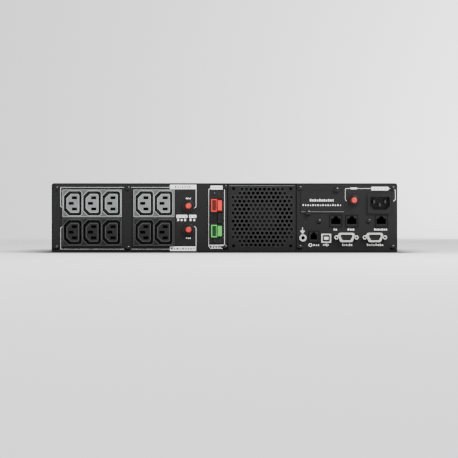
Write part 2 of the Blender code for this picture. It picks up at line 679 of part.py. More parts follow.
def make_heat_sink(finishes):
    """A comb of fins along the air's way to the fan."""
    fins, pitch, thickness = 8, 7.5 * MM, 2 * MM
    base_top, fin_top = 5 * MM, 42 * MM
    points = [(0, 0), ((fins - 1) * pitch + thickness, 0)]
    for i in reversed(range(fins)):
        points += [(i * pitch + thickness, fin_top), (i * pitch, fin_top)]
        if i:
            points += [(i * pitch, base_top), ((i - 1) * pitch + thickness, base_top)]
    mesh = prism(points, -110 * MM, 0)
    location = (20 * MM, -160 * MM, 12 * MM)
    place("heat_sink", mesh, finishes["aluminium"], location, (math.pi / 2, 0, 0))


def make_capacitor(finishes):
    can = prism(circle(17.5 * MM, 20), 0, 50 * MM)
    place("bulk_capacitor", can, finishes["black_plastic"], (115 * MM, -60 * MM, 9 * MM), round_piece=True)


def make_transformer(finishes):
    """The laminated core with two windows, and the coil round its middle limb."""
    middle = (110 * MM, 120 * MM, 40 * MM)
    windows = [rectangle(20 * MM, 62 * MM, side * 31 * MM) for side in (-1, 1)]
    core = prism(rectangle(122 * MM, 102 * MM), -25 * MM, 25 * MM, windows)
    place("transformer_core", core, finishes["core_iron"], middle)
    coil = prism(
        rectangle(78 * MM, 68 * MM, radius=6 * MM),
        -28 * MM,
        28 * MM,
        [rectangle(42 * MM + 2 * GAP, 50 * MM + 2 * GAP)],
    )
    place("transformer_coil", coil, finishes["coil_tape"], middle, (math.pi / 2, 0, 0), round_piece=True)


# ---- battery drawer --------------------------------------------------------------------------------------


def make_battery_tray(finishes):
    """A shallow steel tray with a tall front plate and a folded pull handle."""
    (x0, x1), (y0, y1) = TRAY_X, TRAY_Y
    side_top, front_top = 24 * MM, 80 * MM
    tray = prism(span((x0, y0), (x1, y1)), TRAY_Z, side_top)
    tray = cut(tray, block((x0 + SHEET, y0 + SHEET, TRAY_Z + SHEET), (x1 - SHEET, y1 - SHEET, side_top + 1 * MM)))
    front = block((x0, y1 - SHEET, side_top - 1 * MM), (x1, y1, front_top))
    middle = (x0 + x1) / 2
    length, reach, bar = 64 * MM, 13 * MM, 2 * MM
    low_z, high_z = 38 * MM, 50 * MM
    handle = block((middle - length / 2, y1 - SHEET / 2, low_z), (middle + length / 2, y1 + reach, high_z))
    way = block((middle - length / 2 + bar, y1, low_z - bar), (middle + length / 2 - bar, y1 + reach - bar, high_z + bar))
    place("battery_tray", joined(tray, front, cut(handle, way)), finishes["steel"])


def make_batteries(finishes):
    """Four sealed batteries on their sides, with two flat terminals each, towards the middle of the tray."""
    width, length, height = BATTERY
    middle_x = sum(TRAY_X) / 2
    middle_y = sum(TRAY_Y) / 2 - 1 * MM
    spread_x, spread_y = width / 2 + 6 * MM, length / 2 + 0.7 * MM
    number = 0
    for side_x in (-1, 1):
        for side_y in (-1, 1):
            number += 1
            case = block((-width / 2, -length / 2, 0), (width / 2, length / 2, height))
            face = -side_x * width / 2
            inner, outer = sorted((face + side_x * 1 * MM, face - side_x * 5 * MM))
            tabs = []
            for tab_y in (-0.36 * length, 0.36 * length):
                tabs.append(block((inner, tab_y - 3 * MM, height - 14 * MM), (outer, tab_y + 3 * MM, height - 13 * MM)))
            place(
                f"battery_{number}",
                joined(case, gathered(tabs)),
                finishes["battery_case"],
                (middle_x + side_x * spread_x, middle_y + side_y * spread_y, TRAY_Z + SHEET + GAP),
            )


# ---- front bezel -----------------------------------------------------------------------------------------


def bezel_shell(width):
    """A moulded cover, open at the back, with round outer corners."""
    height = HEIGHT - 1 * MM
    shell = prism(rectangle(width, height, radius=3 * MM), GAP, BEZEL_DEPTH)
    inside = rectangle(width - 2 * BEZEL_WALL, height - 2 * BEZEL_WALL)
    return cut(shell, prism(inside, -1 * MM, BEZEL_DEPTH - BEZEL_WALL))


def vent_cutters(centres):
    """Upright air slots through the bezel's face, at these places along it."""
    low, high = BEZEL_DEPTH - 2 * BEZEL_WALL, BEZEL_DEPTH + 1 * MM
    return gathered([prism(rectangle(*BEZEL_VENT, x), low, high) for x in centres])


def make_bezels(finishes):
    material = finishes["bezel_plastic"]
    middle_z = (HEIGHT + 1 * MM) / 2
    low, high = BAY_WALL_X + GAP / 2, HALF
    middle_x = (low + high) / 2
    shell = bezel_shell(high - low)
    tools = [rectangle(DISPLAY[2] + 2 * GAP, DISPLAY[3] + 2 * GAP, middle_x - DISPLAY[0], DISPLAY[1] - middle_z)]
    power_x, power_z, power_radius = POWER_BUTTON
    tools.append(circle(power_radius + 1.2 * GAP, 24, middle_x - power_x, power_z - middle_z))
    for x in MENU_BUTTONS.values():
        size = (side + 2 * GAP for side in MENU_SIZE)
        tools.append(rectangle(*size, middle_x - x, MENU_Z - middle_z))
    openings = gathered([prism(outline, 10 * MM, BEZEL_DEPTH + 1 * MM) for outline in tools])
    slots = vent_cutters([middle_x - RIGHT_VENT_X - BEZEL_VENT_PITCH * i for i in range(RIGHT_VENTS)])
    place_front("front_bezel", cut(shell, openings, slots), material, middle_x, middle_z)

    window = prism(rectangle(DISPLAY[2], DISPLAY[3]), BEZEL_DEPTH - 4 * MM, BEZEL_DEPTH - 0.6 * MM)
    place_front("display_window", window, finishes["display_glass"], DISPLAY[0], DISPLAY[1])
    back = 10 * MM
    power = prism(circle(power_radius, 24), back, BEZEL_DEPTH + FRONT_REACH)
    place_front("power_button", power, finishes["bezel_plastic"], power_x, power_z, round_piece=True)
    for name, x in MENU_BUTTONS.items():
        key = prism(rectangle(*MENU_SIZE), back, BEZEL_DEPTH + 0.7 * MM)
        place_front(name, key, finishes["bezel_plastic"], x, MENU_Z)

    low, high = -HALF, BAY_WALL_X - GAP / 2
    cover = bezel_shell(high - low)
    count = 21
    slots = vent_cutters([(i - (count - 1) / 2) * BEZEL_VENT_PITCH for i in range(count)])
    place_front("battery_cover", cut(cover, slots), material, (low + high) / 2, middle_z)


def main():
    for obj in list(bpy.data.objects):
        bpy.data.objects.remove(obj)
    finishes = make_finishes()
    make_chassis_base(finishes)
    make_top_cover(finishes)
    make_outlet_panel(finishes)
    make_io_panel(finishes)
    make_fan_grille(finishes)
    make_divider(finishes)
    for colour in OUTLET_ROWS:
        for count in OUTLET_GANGS:
            make_outlet_gang(finishes, colour, count)
    for name in BREAKERS:
        make_breaker(finishes, name)
    make_battery_port(finishes)
    make_fan(finishes)
    make_card_slot_cover(finishes)
    make_inlet(finishes)
    make_jacks(finishes)
    make_usb_port(finishes)
    make_d_ports(finishes)
    make_ground_stud(finishes)
    make_boards(finishes)
    make_heat_sink(finishes)
    make_capacitor(finishes)
    make_transformer(finishes)
    make_battery_tray(finishes)
    make_batteries(finishes)
    make_bezels(finishes)


main()
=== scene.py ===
"""Looks for the rackmount backup power supply: fine parts, printing, finishes, studio and camera.

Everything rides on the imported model's bodies. Outlines are (x, z) points in millimetres in the model's
frame, and depths are y in millimetres. The rear panel faces -Y and the front faces +Y.
"""

import json
import math

import bmesh
import bpy
from mathutils import Matrix, Vector


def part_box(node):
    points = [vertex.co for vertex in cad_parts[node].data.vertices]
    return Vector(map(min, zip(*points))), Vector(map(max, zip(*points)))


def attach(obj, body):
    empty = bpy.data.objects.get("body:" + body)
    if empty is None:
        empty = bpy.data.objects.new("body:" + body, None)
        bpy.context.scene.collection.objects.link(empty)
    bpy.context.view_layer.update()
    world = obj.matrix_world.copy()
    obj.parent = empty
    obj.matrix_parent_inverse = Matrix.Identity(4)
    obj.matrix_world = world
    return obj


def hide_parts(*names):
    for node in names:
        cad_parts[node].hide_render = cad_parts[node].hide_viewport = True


MM = 0.001
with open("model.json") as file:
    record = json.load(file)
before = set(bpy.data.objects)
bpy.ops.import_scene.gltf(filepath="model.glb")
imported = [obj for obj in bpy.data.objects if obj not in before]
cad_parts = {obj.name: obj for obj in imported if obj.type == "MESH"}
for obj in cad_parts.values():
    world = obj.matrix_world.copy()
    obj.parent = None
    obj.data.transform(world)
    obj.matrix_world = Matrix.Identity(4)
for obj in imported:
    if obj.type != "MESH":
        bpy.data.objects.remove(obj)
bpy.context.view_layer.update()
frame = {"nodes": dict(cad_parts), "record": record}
nodes = frame["nodes"]


def box_mm(node):
    """A node's lowest and highest corner, in millimetres."""
    low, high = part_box(node)
    return low / MM, high / MM


def middle_mm(node):
    low, high = box_mm(node)
    return (low + high) / 2


REAR_Y = box_mm("outlet_panel")[0].y
FRONT_Y = box_mm("front_bezel")[1].y
GRILLE_Y = box_mm("fan_grille")[0].y
LEFT, RIGHT = box_mm("top_cover")[0].x, box_mm("top_cover")[1].x
PRINT_THICKNESS = 0.06
BURIED = 0.02  # how far an added piece sinks into the surface under it
LINE_WIDTH = 0.5
THIN_LINE = 0.26

# ---- outlines, in millimetres --------------------------------------------------------------------


def arc(x, y, radius, start, end, steps):
    angles = [math.radians(start + (end - start) * i / steps) for i in range(steps + 1)]
    return [(x + radius * math.cos(a), y + radius * math.sin(a)) for a in angles]


def circle(radius, x=0.0, y=0.0, sides=32):
    return arc(x, y, radius, 0, 360, sides)[:-1]


def rectangle(width, height, x=0.0, y=0.0, radius=0.0, steps=4):
    half_w, half_h = width / 2, height / 2
    if not radius:
        signs = ((-1, -1), (1, -1), (1, 1), (-1, 1))
        return [(x + sx * half_w, y + sy * half_h) for sx, sy in signs]
    points = []
    for sign_x, sign_y, start in ((1, 1, 0), (-1, 1, 90), (-1, -1, 180), (1, -1, 270)):
        corner_x, corner_y = x + sign_x * (half_w - radius), y + sign_y * (half_h - radius)
        points += arc(corner_x, corner_y, radius, start, start + 90, steps)
    return points


def span(x0, x1, y0, y1, radius=0.0):
    return rectangle(x1 - x0, y1 - y0, (x0 + x1) / 2, (y0 + y1) / 2, radius)


def connector(width, height, cut, radius, x=0.0, y=0.0, grow=0.0):
    """A mains connector's outline, cut corners on the earth side (-X), grown outwards by grow."""
    half_w, half_h = width / 2 + grow, height / 2 + grow
    cut, radius = cut + 0.586 * grow, radius + grow
    points = arc(x + half_w - radius, y + half_h - radius, radius, 90, 0, 6)
    points += arc(x + half_w - radius, y - half_h + radius, radius, 0, -90, 6)
    points += [(x - half_w + cut, y - half_h), (x - half_w, y - half_h + cut)]
    return points + [(x - half_w, y + half_h - cut), (x - half_w + cut, y + half_h)]


def stroke(points, width=LINE_WIDTH):
    """An open line of some width through the points, with mitred corners."""
    sides = ([], [])
    for i, (x, y) in enumerate(points):
        before = Vector(points[i]) - Vector(points[i - 1]) if i else None
        after = Vector(points[i + 1]) - Vector(points[i]) if i < len(points) - 1 else None
        before, after = (before or after).normalized(), (after or before).normalized()
        mitre = (before + after).normalized()
        normal = Vector((-mitre.y, mitre.x))
        reach = width / 2 / max(0.4, normal.dot(Vector((-before.y, before.x))))
        sides[0].append((x + normal.x * reach, y + normal.y * reach))
        sides[1].append((x - normal.x * reach, y - normal.y * reach))
    return sides[0] + sides[1][::-1]


# ---- meshes --------------------------------------------------------------------------------------


def only_verts(geometry):
    return [item for item in geometry if isinstance(item, bmesh.types.BMVert)]


def raise_outline(bm, outline, y0, y1, holes=()):
    """Adds the outline, less its holes, as a solid from y0 to y1 (millimetres)."""
    part = bmesh.new()
    for loop in (outline, *holes):
        corners = [part.verts.new((x * MM, y0 * MM, z * MM)) for x, z in loop]
        for start, end in zip(corners, corners[1:] + corners[:1]):
            part.edges.new((start, end))
    bmesh.ops.triangle_fill(part, use_beauty=True, use_dissolve=False, edges=part.edges[:])
    raised = bmesh.ops.extrude_face_region(part, geom=part.faces[:])["geom"]
    bmesh.ops.translate(part, vec=(0, (y1 - y0) * MM, 0), verts=only_verts(raised))
    bmesh.ops.recalc_face_normals(part, faces=part.faces[:])
    mesh = bpy.data.meshes.new("part")
    part.to_mesh(mesh)
    part.free()
    bm.from_mesh(mesh)
    bpy.data.meshes.remove(mesh)


def lathe(bm, profile, x=0.0, z=0.0, y=0.0, facing=-1, sides=32, ring=False):
    """Turns (radius, height) points round the Y axis. Heights rise in the facing direction.

    A ring's profile is a closed loop, so the hole in its middle stays open.
    """
    rings = []
    for radius, height in profile:
        level = (y + facing * height) * MM
        if radius < 1e-6:
            rings.append([bm.verts.new((x * MM, level, z * MM))])
            continue
        spots = circle(radius, sides=sides)
        rings.append([bm.verts.new(((x + px) * MM, level, (z + pz) * MM)) for px, pz in spots])
    made = []
    for lower, upper in zip(rings, rings[1:] + (rings[:1] if ring else [])):
        for i in range(sides):
            j = (i + 1) % sides
            pairs = ((lower, i), (lower, j), (upper, j), (upper, i))
            corners = list(dict.fromkeys(loop[at % len(loop)] for loop, at in pairs))
            if len(corners) > 2:
                made.append(bm.faces.new(corners))
    for end in () if ring else (rings[0], rings[-1]):
        if len(end) > 1:
            made.append(bm.faces.new(end))
    bmesh.ops.recalc_face_normals(bm, faces=made)


def piece(name, bm, material, body="case", smooth=False, bevel=0.0):
    mesh = bpy.data.meshes.new(name)
    bm.to_mesh(mesh)
    bm.free()
    return piece_from_mesh(name, mesh, material, body, smooth, bevel)


def piece_from_mesh(name, mesh, material, body="case", smooth=False, bevel=0.0, location=(0, 0, 0)):
    obj = bpy.data.objects.new(name, mesh)
    if not mesh.materials:
        mesh.materials.append(material)
    obj.location = location
    bpy.context.scene.collection.objects.link(obj)
    if bevel:
        modifier = obj.modifiers.new("soft_edges", "BEVEL")
        modifier.width = bevel * MM
        modifier.segments = 2
        modifier.limit_method = "ANGLE"
    if smooth or bevel:
        mesh.shade_smooth()
        mesh.set_sharp_from_angle(angle=math.radians(40))
    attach(obj, body)
    return obj


def slabs(name, outlines, y0, y1, material, body="case", bevel=0.0):
    """Many outlines, each a list of points or (points, holes), as one piece."""
    bm = bmesh.new()
    for entry in outlines:
        outline, holes = entry if isinstance(entry, tuple) else (entry, ())
        raise_outline(bm, outline, y0, y1, holes)
    return piece(name, bm, material, body, bevel=bevel)


def cut_mesh(mesh, tool):
    """The mesh less the tool, both meshes."""
    body, helper = bpy.data.objects.new("body", mesh), bpy.data.objects.new("helper", tool)
    for obj in (body, helper):
        bpy.context.scene.collection.objects.link(obj)
    modifier = body.modifiers.new("cut", "BOOLEAN")
    modifier.object = helper
    made = bpy.data.meshes.new_from_object(body.evaluated_get(bpy.context.evaluated_depsgraph_get()))
    for obj in (body, helper):
        bpy.data.objects.remove(obj)
    return made


# ---- materials -----------------------------------------------------------------------------------


class Nodes:
    """Builds a material's node tree with short calls."""

    def __init__(self, name):
        self.material = bpy.data.materials.new(name)
        self.material.use_nodes = True
        self.tree = self.material.node_tree
        self.shader = self.tree.nodes["Principled BSDF"]
        self.place = self.tree.nodes.new("ShaderNodeTexCoord").outputs["Object"]

    def link(self, output, target):
        self.tree.links.new(output, target)

    def noise(self, scale, detail=3.0, stretch=None):
        place = self.place
        if stretch:
            mapping = self.tree.nodes.new("ShaderNodeMapping")
            mapping.inputs["Scale"].default_value = stretch
            self.link(place, mapping.inputs["Vector"])
            place = mapping.outputs["Vector"]
        texture = self.tree.nodes.new("ShaderNodeTexNoise")
        texture.inputs["Scale"].default_value = scale
        texture.inputs["Detail"].default_value = detail
        self.link(place, texture.inputs["Vector"])
        return texture.outputs["Fac"]

    def spread(self, value, low, high, start=0.3, end=0.7):
        ranger = self.tree.nodes.new("ShaderNodeMapRange")
        for key, number in (("From Min", start), ("From Max", end), ("To Min", low), ("To Max", high)):
            ranger.inputs[key].default_value = number
        self.link(value, ranger.inputs["Value"])
        return ranger.outputs["Result"]

    def mix(self, factor, first, second):
        mixer = self.tree.nodes.new("ShaderNodeMix")
        mixer.data_type = "RGBA"
        self.link(factor, mixer.inputs["Factor"])
        for socket, colour in ((mixer.inputs[6], first), (mixer.inputs[7], second)):
            if isinstance(colour, tuple):
                socket.default_value = (*colour, 1.0)
            else:
                self.link(colour, socket)
        return mixer.outputs[2]

    def bump(self, height, strength, distance):
        node = self.tree.nodes.new("ShaderNodeBump")
        node.inputs["Strength"].default_value = strength
        node.inputs["Distance"].default_value = distance
        self.link(height, node.inputs["Height"])
        self.link(node.outputs["Normal"], self.shader.inputs["Normal"])


def moulded(name, colour, roughness=0.45, variation=0.12, grain=1400.0, bump=0.12, coat=0.0, gloss=0.4):
    """Moulded plastic or paint: a fine grain, slight cloudiness and uneven gloss."""
    n = Nodes(name)
    low = tuple(c * (1 - variation) for c in colour)
    high = tuple(min(1.0, c * (1 + variation)) for c in colour)
    n.link(n.mix(n.spread(n.noise(60.0), 0, 1), low, high), n.shader.inputs["Base Color"])
    n.link(n.spread(n.noise(180.0), roughness * 0.85, roughness * 1.15), n.shader.inputs["Roughness"])
    n.bump(n.noise(grain, 2.0), bump, 0.0002)
    n.shader.inputs["Specular IOR Level"].default_value = gloss
    n.shader.inputs["Coat Weight"].default_value = coat
    n.shader.inputs["Coat Roughness"].default_value = 0.2
    return n.material


def powder_coat(name, colour):
    """Textured powder coat: a pebbled skin about half a millimetre across, with lighter crests."""
    n = Nodes(name)
    pebble = n.noise(1500.0, 3.0)
    dust = n.noise(14.0, 5.0)
    crest = tuple(c * 1.55 for c in colour)
    pit = tuple(c * 0.7 for c in colour)
    worn = tuple(c * 1.25 for c in colour)
    base = n.mix(n.spread(pebble, 0, 1, 0.35, 0.68), pit, crest)
    n.link(n.mix(n.spread(dust, 0, 0.45, 0.45, 0.7), base, worn), n.shader.inputs["Base Color"])
    n.link(n.spread(pebble, 0.42, 0.62), n.shader.inputs["Roughness"])
    n.shader.inputs["Specular IOR Level"].default_value = 0.22
    n.bump(pebble, 0.35, 0.0003)
    return n.material


def metal(name, colour, roughness=0.3, stretch=(1, 1, 1), grain=900.0, bump=0.06, stain=0.85):
    """Plated or bare metal with drawn or rolled marks along one direction, and a little tarnish."""
    n = Nodes(name)
    marks = n.noise(grain, 4.0, stretch)
    dull = tuple(c * stain for c in colour)
    n.link(n.mix(n.spread(n.noise(45.0, 4.0), 0, 1), dull, colour), n.shader.inputs["Base Color"])
    n.link(n.spread(marks, roughness * 0.75, roughness * 1.3), n.shader.inputs["Roughness"])
    n.shader.inputs["Metallic"].default_value = 1.0
    n.bump(marks, bump, 0.0001)
    return n.material


def circuit_board(name):
    """Green solder mask over a grid of tracks."""
    n = Nodes(name)
    bricks = n.tree.nodes.new("ShaderNodeTexBrick")
    bricks.inputs["Scale"].default_value = 110.0
    bricks.inputs["Mortar Size"].default_value = 0.03
    bricks.inputs["Color1"].default_value = (0.012, 0.085, 0.035, 1)
    bricks.inputs["Color2"].default_value = (0.018, 0.11, 0.045, 1)
    bricks.inputs["Mortar"].default_value = (0.05, 0.24, 0.10, 1)
    n.link(n.place, bricks.inputs["Vector"])
    n.link(bricks.outputs["Color"], n.shader.inputs["Base Color"])
    n.link(n.spread(n.noise(90.0), 0.3, 0.5), n.shader.inputs["Roughness"])
    n.bump(bricks.outputs["Fac"], 0.2, 0.0002)
    return n.material


def lamination(name):
    """Stacked steel sheets with varnish between them."""
    n = Nodes(name)
    wave = n.tree.nodes.new("ShaderNodeTexWave")
    wave.bands_direction = "Z"
    wave.inputs["Scale"].default_value = 320.0
    n.link(n.place, wave.inputs["Vector"])
    n.link(n.mix(wave.outputs["Fac"], (0.07, 0.06, 0.055), (0.24, 0.22, 0.21)), n.shader.inputs["Base Color"])
    n.link(n.spread(n.noise(200.0), 0.35, 0.6), n.shader.inputs["Roughness"])
    n.shader.inputs["Metallic"].default_value = 0.7
    n.bump(wave.outputs["Fac"], 0.3, 0.0002)
    return n.material


def glowing(name, colour, strength):
    n = Nodes(name)
    dim = tuple(c * 0.8 for c in colour)
    n.link(n.mix(n.spread(n.noise(300.0), 0, 1), dim, colour), n.shader.inputs["Emission Color"])
    n.shader.inputs["Emission Strength"].default_value = strength
    n.shader.inputs["Base Color"].default_value = (*colour, 1)
    return n.material


looks = {
    "powder_coat": powder_coat("case_powder_coat", (0.0066, 0.0066, 0.0068)),
    "steel": metal("zinc_plated_steel", (0.58, 0.59, 0.6), 0.36, (1, 0.06, 1), 700.0),
    "nickel": metal("nickel_plate", (0.74, 0.73, 0.71), 0.26, (1, 0.2, 1), 900.0),
    "grey_plastic": moulded("grey_nylon", (0.080, 0.086, 0.086), 0.42, gloss=0.3),
    "black_plastic": moulded("black_nylon", (0.0055, 0.0055, 0.006), 0.4, gloss=0.25),
    "red_plastic": moulded("red_plastic", (0.74, 0.028, 0.016), 0.34, gloss=0.3),
    "green_plastic": moulded("green_plastic", (0.075, 0.50, 0.085), 0.34, gloss=0.3),
    "bezel_plastic": moulded(
        "bezel_plastic", (0.009, 0.009, 0.010), 0.42, bump=0.25, grain=1800.0, gloss=0.3
    ),
    "board": circuit_board("solder_mask"),
    "aluminium": metal("extruded_aluminium", (0.72, 0.73, 0.74), 0.34, (1, 0.05, 1)),
    "core_iron": lamination("laminated_core"),
    "coil_tape": moulded("coil_tape", (0.62, 0.42, 0.08), 0.35, 0.2, 500.0),
    "battery_case": moulded("battery_case", (0.035, 0.036, 0.04), 0.5, bump=0.3, grain=1000.0),
    "display_glass": moulded("display_glass", (0.012, 0.016, 0.02), 0.06, bump=0.0, coat=1.0),
}
white_ink = moulded("white_ink", (0.95, 0.95, 0.94), 0.6, 0.04, 2500.0)
label_ink = moulded("label_dark_ink", (0.008, 0.008, 0.008), 0.6, 0.2, 2500.0)
# Painted highlight: a lighter copy of the grey nylon for the raised rims of the grey gangs, standing in for
# the light they catch.
painted_rim_highlight_grey = moulded("grey_rim", (0.30, 0.315, 0.31), 0.38)
pale_core = moulded("pale_nylon", (0.18, 0.19, 0.19), 0.42, gloss=0.3)
# Partly painted highlight: on the black gangs' raised rims a lighter copy of the black nylon stands in for
# the light they catch; on the front it is the dark trim round the display and power key and the lower lines.
dark_trim_and_rim_highlight = moulded("black_rim", (0.040, 0.040, 0.041), 0.3)
black_metal = metal("blackened_screw", (0.030, 0.030, 0.031), 0.2, (1, 1, 1), 1600.0, 0.1)
# Painted highlight: a paler copy of the case's black for rings round the grille's holes, standing in for the
# light their edges catch.
painted_hole_highlight = moulded("painted_hole_highlight", (0.034, 0.034, 0.035), 0.35)
# Painted shade: a very dark copy of the buttons' red plastic for the ring between button and collar.
shaded_skirt_red = moulded("skirt_red_in_shade", (0.030, 0.002, 0.0015), 0.4)
# Painted shade: darker copies of the red and green plastics for inside the poles' hollows.
shaded_hollow_red = moulded("red_plastic_in_shade", (0.11, 0.005, 0.004), 0.4)
shaded_hollow_green = moulded("green_plastic_in_shade", (0.004, 0.05, 0.007), 0.4)
# Painted highlight: a pale grey for strips along edges that catch the light.
painted_edge_highlight = moulded("painted_edge_highlight", (0.13, 0.13, 0.13), 0.4)
# Painted shade: near-black for slot mouths, the gap beside each pole, the stud's hole and inside the jacks.
painted_black_shade = moulded("slot_shadow", (0.001, 0.001, 0.001), 0.9, gloss=0.0)
# Blackened steel for the fan screws; the outlets' contacts get it too, as painted shade deep in the slots.
dark_steel_and_contact_shade = metal("dark_steel_and_contact_shade", (0.004, 0.004, 0.0042), 0.5)
# Painted shade: a darker copy of the nickel for the inlet's pins, which sit in the mouth's shade.
shaded_nickel = metal("shaded_nickel", (0.075, 0.075, 0.074), 0.45)
jack_black = moulded("jack_nylon", (0.0025, 0.0025, 0.0027), 0.5, gloss=0.12)
# Painted shade: a darkened copy of brass for contacts deep inside the poles and jacks.
shaded_brass = metal("brass_contact", (0.10, 0.07, 0.03), 0.45)
gold = metal("gold_contact", (0.30, 0.21, 0.08), 0.35)
white_plastic = moulded("white_nylon", (0.80, 0.80, 0.78), 0.4)
# Painted shade: dark plastic for holes, the port's hollow, the fan's back and the shadow strips by cover and
# inlet.
painted_shade_plastic = moulded("shadowed_plastic", (0.006, 0.006, 0.0065), 0.6)
hub_plastic = moulded("fan_plastic", (0.0026, 0.0026, 0.0028), 0.5, gloss=0.1)
screen_glow = glowing("screen_segments", (0.35, 0.75, 1.0), 1.6)
lamp_glow = glowing("status_lamp", (0.1, 1.0, 0.25), 2.5)
battery_label = moulded("battery_label", (0.62, 0.62, 0.6), 0.45)

for entry in frame["record"]["subparts"]:
    data = nodes[entry["node"]].data
    data.materials.clear()
    data.materials.append(looks[entry["material_slot"]])
for name in ("fan_frame", "fan_rotor"):
    nodes[name].data.materials[0] = hub_plastic
for name in ("expansion_screw_left", "expansion_screw_right"):
    nodes[name].data.materials[0] = black_metal


# ---- printing on the rear panel ------------------------------------------------------------------


BAR_FILL = 0.8
BAR_ROUNDING = 0.2
BAR_DROPS = (0.0, 0.22, 0.1, 0.3)  # how much lower each bar's top is, as a share of the line's height


def bars(x0, x1, z, height, widths):
    """A row of plain bars that stands for one line of lettering, spread from x0 to x1."""
    gap = (x1 - x0 - sum(widths)) / max(1, len(widths) - 1)
    outlines, x = [], x0
    for i, width in enumerate(widths):
        top = z + height / 2 - height * BAR_DROPS[i % len(BAR_DROPS)]
        rounding = min(width, height) * BAR_ROUNDING
        outlines.append(span(x, x + BAR_FILL * width, z - height / 2, top, rounding))
        x += width + gap
    return outlines


def make_frames():
    """The white frames that group the outlets, the battery port and the input."""
    left, right = -205.0, -35.5
    label_x = (-68.3, -35.2)
    outlines = []
    for edge, inner, label in ((81.6, 56.6, (79.5, 84.9)), (4.3, 32.0, (2.1, 7.6))):
        turn = 1 if edge > inner else -1
        hook = [(-202.8, inner - turn * 0.4), (left, inner + turn * 1.3), (left, edge + turn * 0.1)]
        outlines.append(stroke(hook))
        outlines.append(stroke([(left + 0.3, edge), (-125.6, edge)], THIN_LINE))
        outlines.append(stroke([(-116.6, edge), (label_x[0] + 1, edge)], THIN_LINE))
        outlines.append(span(*label_x, *label, 0.6))
        hook = [(right, label[0]), (right, inner + turn * 1.8), (right - 0.7, inner)]
        outlines.append(stroke([*hook, (right - 2.4, inner - turn * 0.8)]))
    port = [(-17.0, 81.4), (-19.7, 78.8), (-19.7, 8.2), (-17.4, 5.2), (-2.6, 5.2), (0.1, 8.0), (0.1, 79.0)]
    outlines.append(stroke(port))
    outlines.append(span(-17.5, -2.1, 79.0, 83.7, 0.9))
    outlines.append(span(-18.6, -0.2, 8.4, 9.8, 0.3))
    outlines.append(stroke([(153.2, 64.6), (151.3, 66.2), (151.3, 80.3)], 0.35))
    outlines.append(stroke([(151.5, 80.2), (184.6, 80.2)], 0.42))
    outlines.append(span(157.5, 166.0, 79.4, 81.4, 0.7))
    outlines.append(span(184.0, 205.4, 78.0, 82.2, 1.0))
    outlines.append(stroke([(204.8, 80.2), (207.8, 80.2)]))
    outlines.append(stroke([(212.8, 80.9), (214.0, 76.5), (214.0, 66.2), (211.6, 64.2)]))
    return outlines


def make_marks():
    """Plain marks where the panel has lettering, numbers and small signs."""
    outlines = []
    for z in (67.8, 18.2):
        outlines += bars(-48.2, -42.0, z, 1.7, (1.3, 1.0, 1.0, 1.0, 0.8))
    outlines += [span(-60.2, -46.5, 43.5, 47.2, 0.4), span(-44.2, -35.2, 43.5, 47.2, 0.4)]
    outlines += bars(-59.0, -47.6, 41.0, 3.0, (2.8, 2.6, 2.8)) + bars(-43.4, -36.2, 41.0, 3.0, (2.6, 2.8))
    outlines += bars(137.0, 141.2, 28.9, 2.6, (0.9, 2.2))
    outlines += bars(154.4, 162.6, 28.9, 2.6, (2.1, 2.1, 2.1))
    outlines += bars(187.5, 203.8, 28.9, 2.4, (2.0, 1.7, 1.8, 1.2, 1.9, 2.2, 1.8))
    outlines += bars(147.4, 160.0, 9.7, 2.7, (1.8, 1.7, 1.9, 1.0, 1.9, 1.6))
    outlines += bars(178.4, 198.9, 9.7, 2.7, (2.2, 1.9, 1.6, 2.0, 2.0, 1.8, 2.1, 1.7))
    outlines += bars(111.6, 118.6, 9.3, 2.2, (1.5, 1.4, 1.6))
    outlines.append(([*circle(2.3, 107.6, 9.4, 20)], [circle(1.5, 107.6, 9.4, 20)]))
    return outlines


def make_signs():
    """Generic signs: the earth sign above the stud and a branching data sign under the square port."""
    x = middle_mm("ground_stud").x - 0.5
    earth = [span(x - 0.35, x + 0.35, 27.4, 31.2)]
    for width, z in ((5.6, 26.9), (3.6, 25.6), (1.6, 24.3)):
        earth.append(rectangle(width, 0.8, x, z))
    usb_x, z = middle_mm("usb_port").x, 9.6
    branch = [stroke([(usb_x - 3.2, z), (usb_x + 2.2, z)], 0.7), circle(1.0, usb_x - 3.0, z, 12)]
    branch.append([(usb_x + 2.0, z - 0.9), (usb_x + 3.6, z), (usb_x + 2.0, z + 0.9)])
    branch += [stroke([(usb_x - 1.4, z + 0.2), (usb_x, z + 1.3), (usb_x + 1.2, z + 1.3)], 0.6)]
    branch += [stroke([(usb_x - 0.8, z - 0.2), (usb_x + 0.3, z - 1.3), (usb_x + 1.4, z - 1.3)], 0.6)]
    return earth + branch


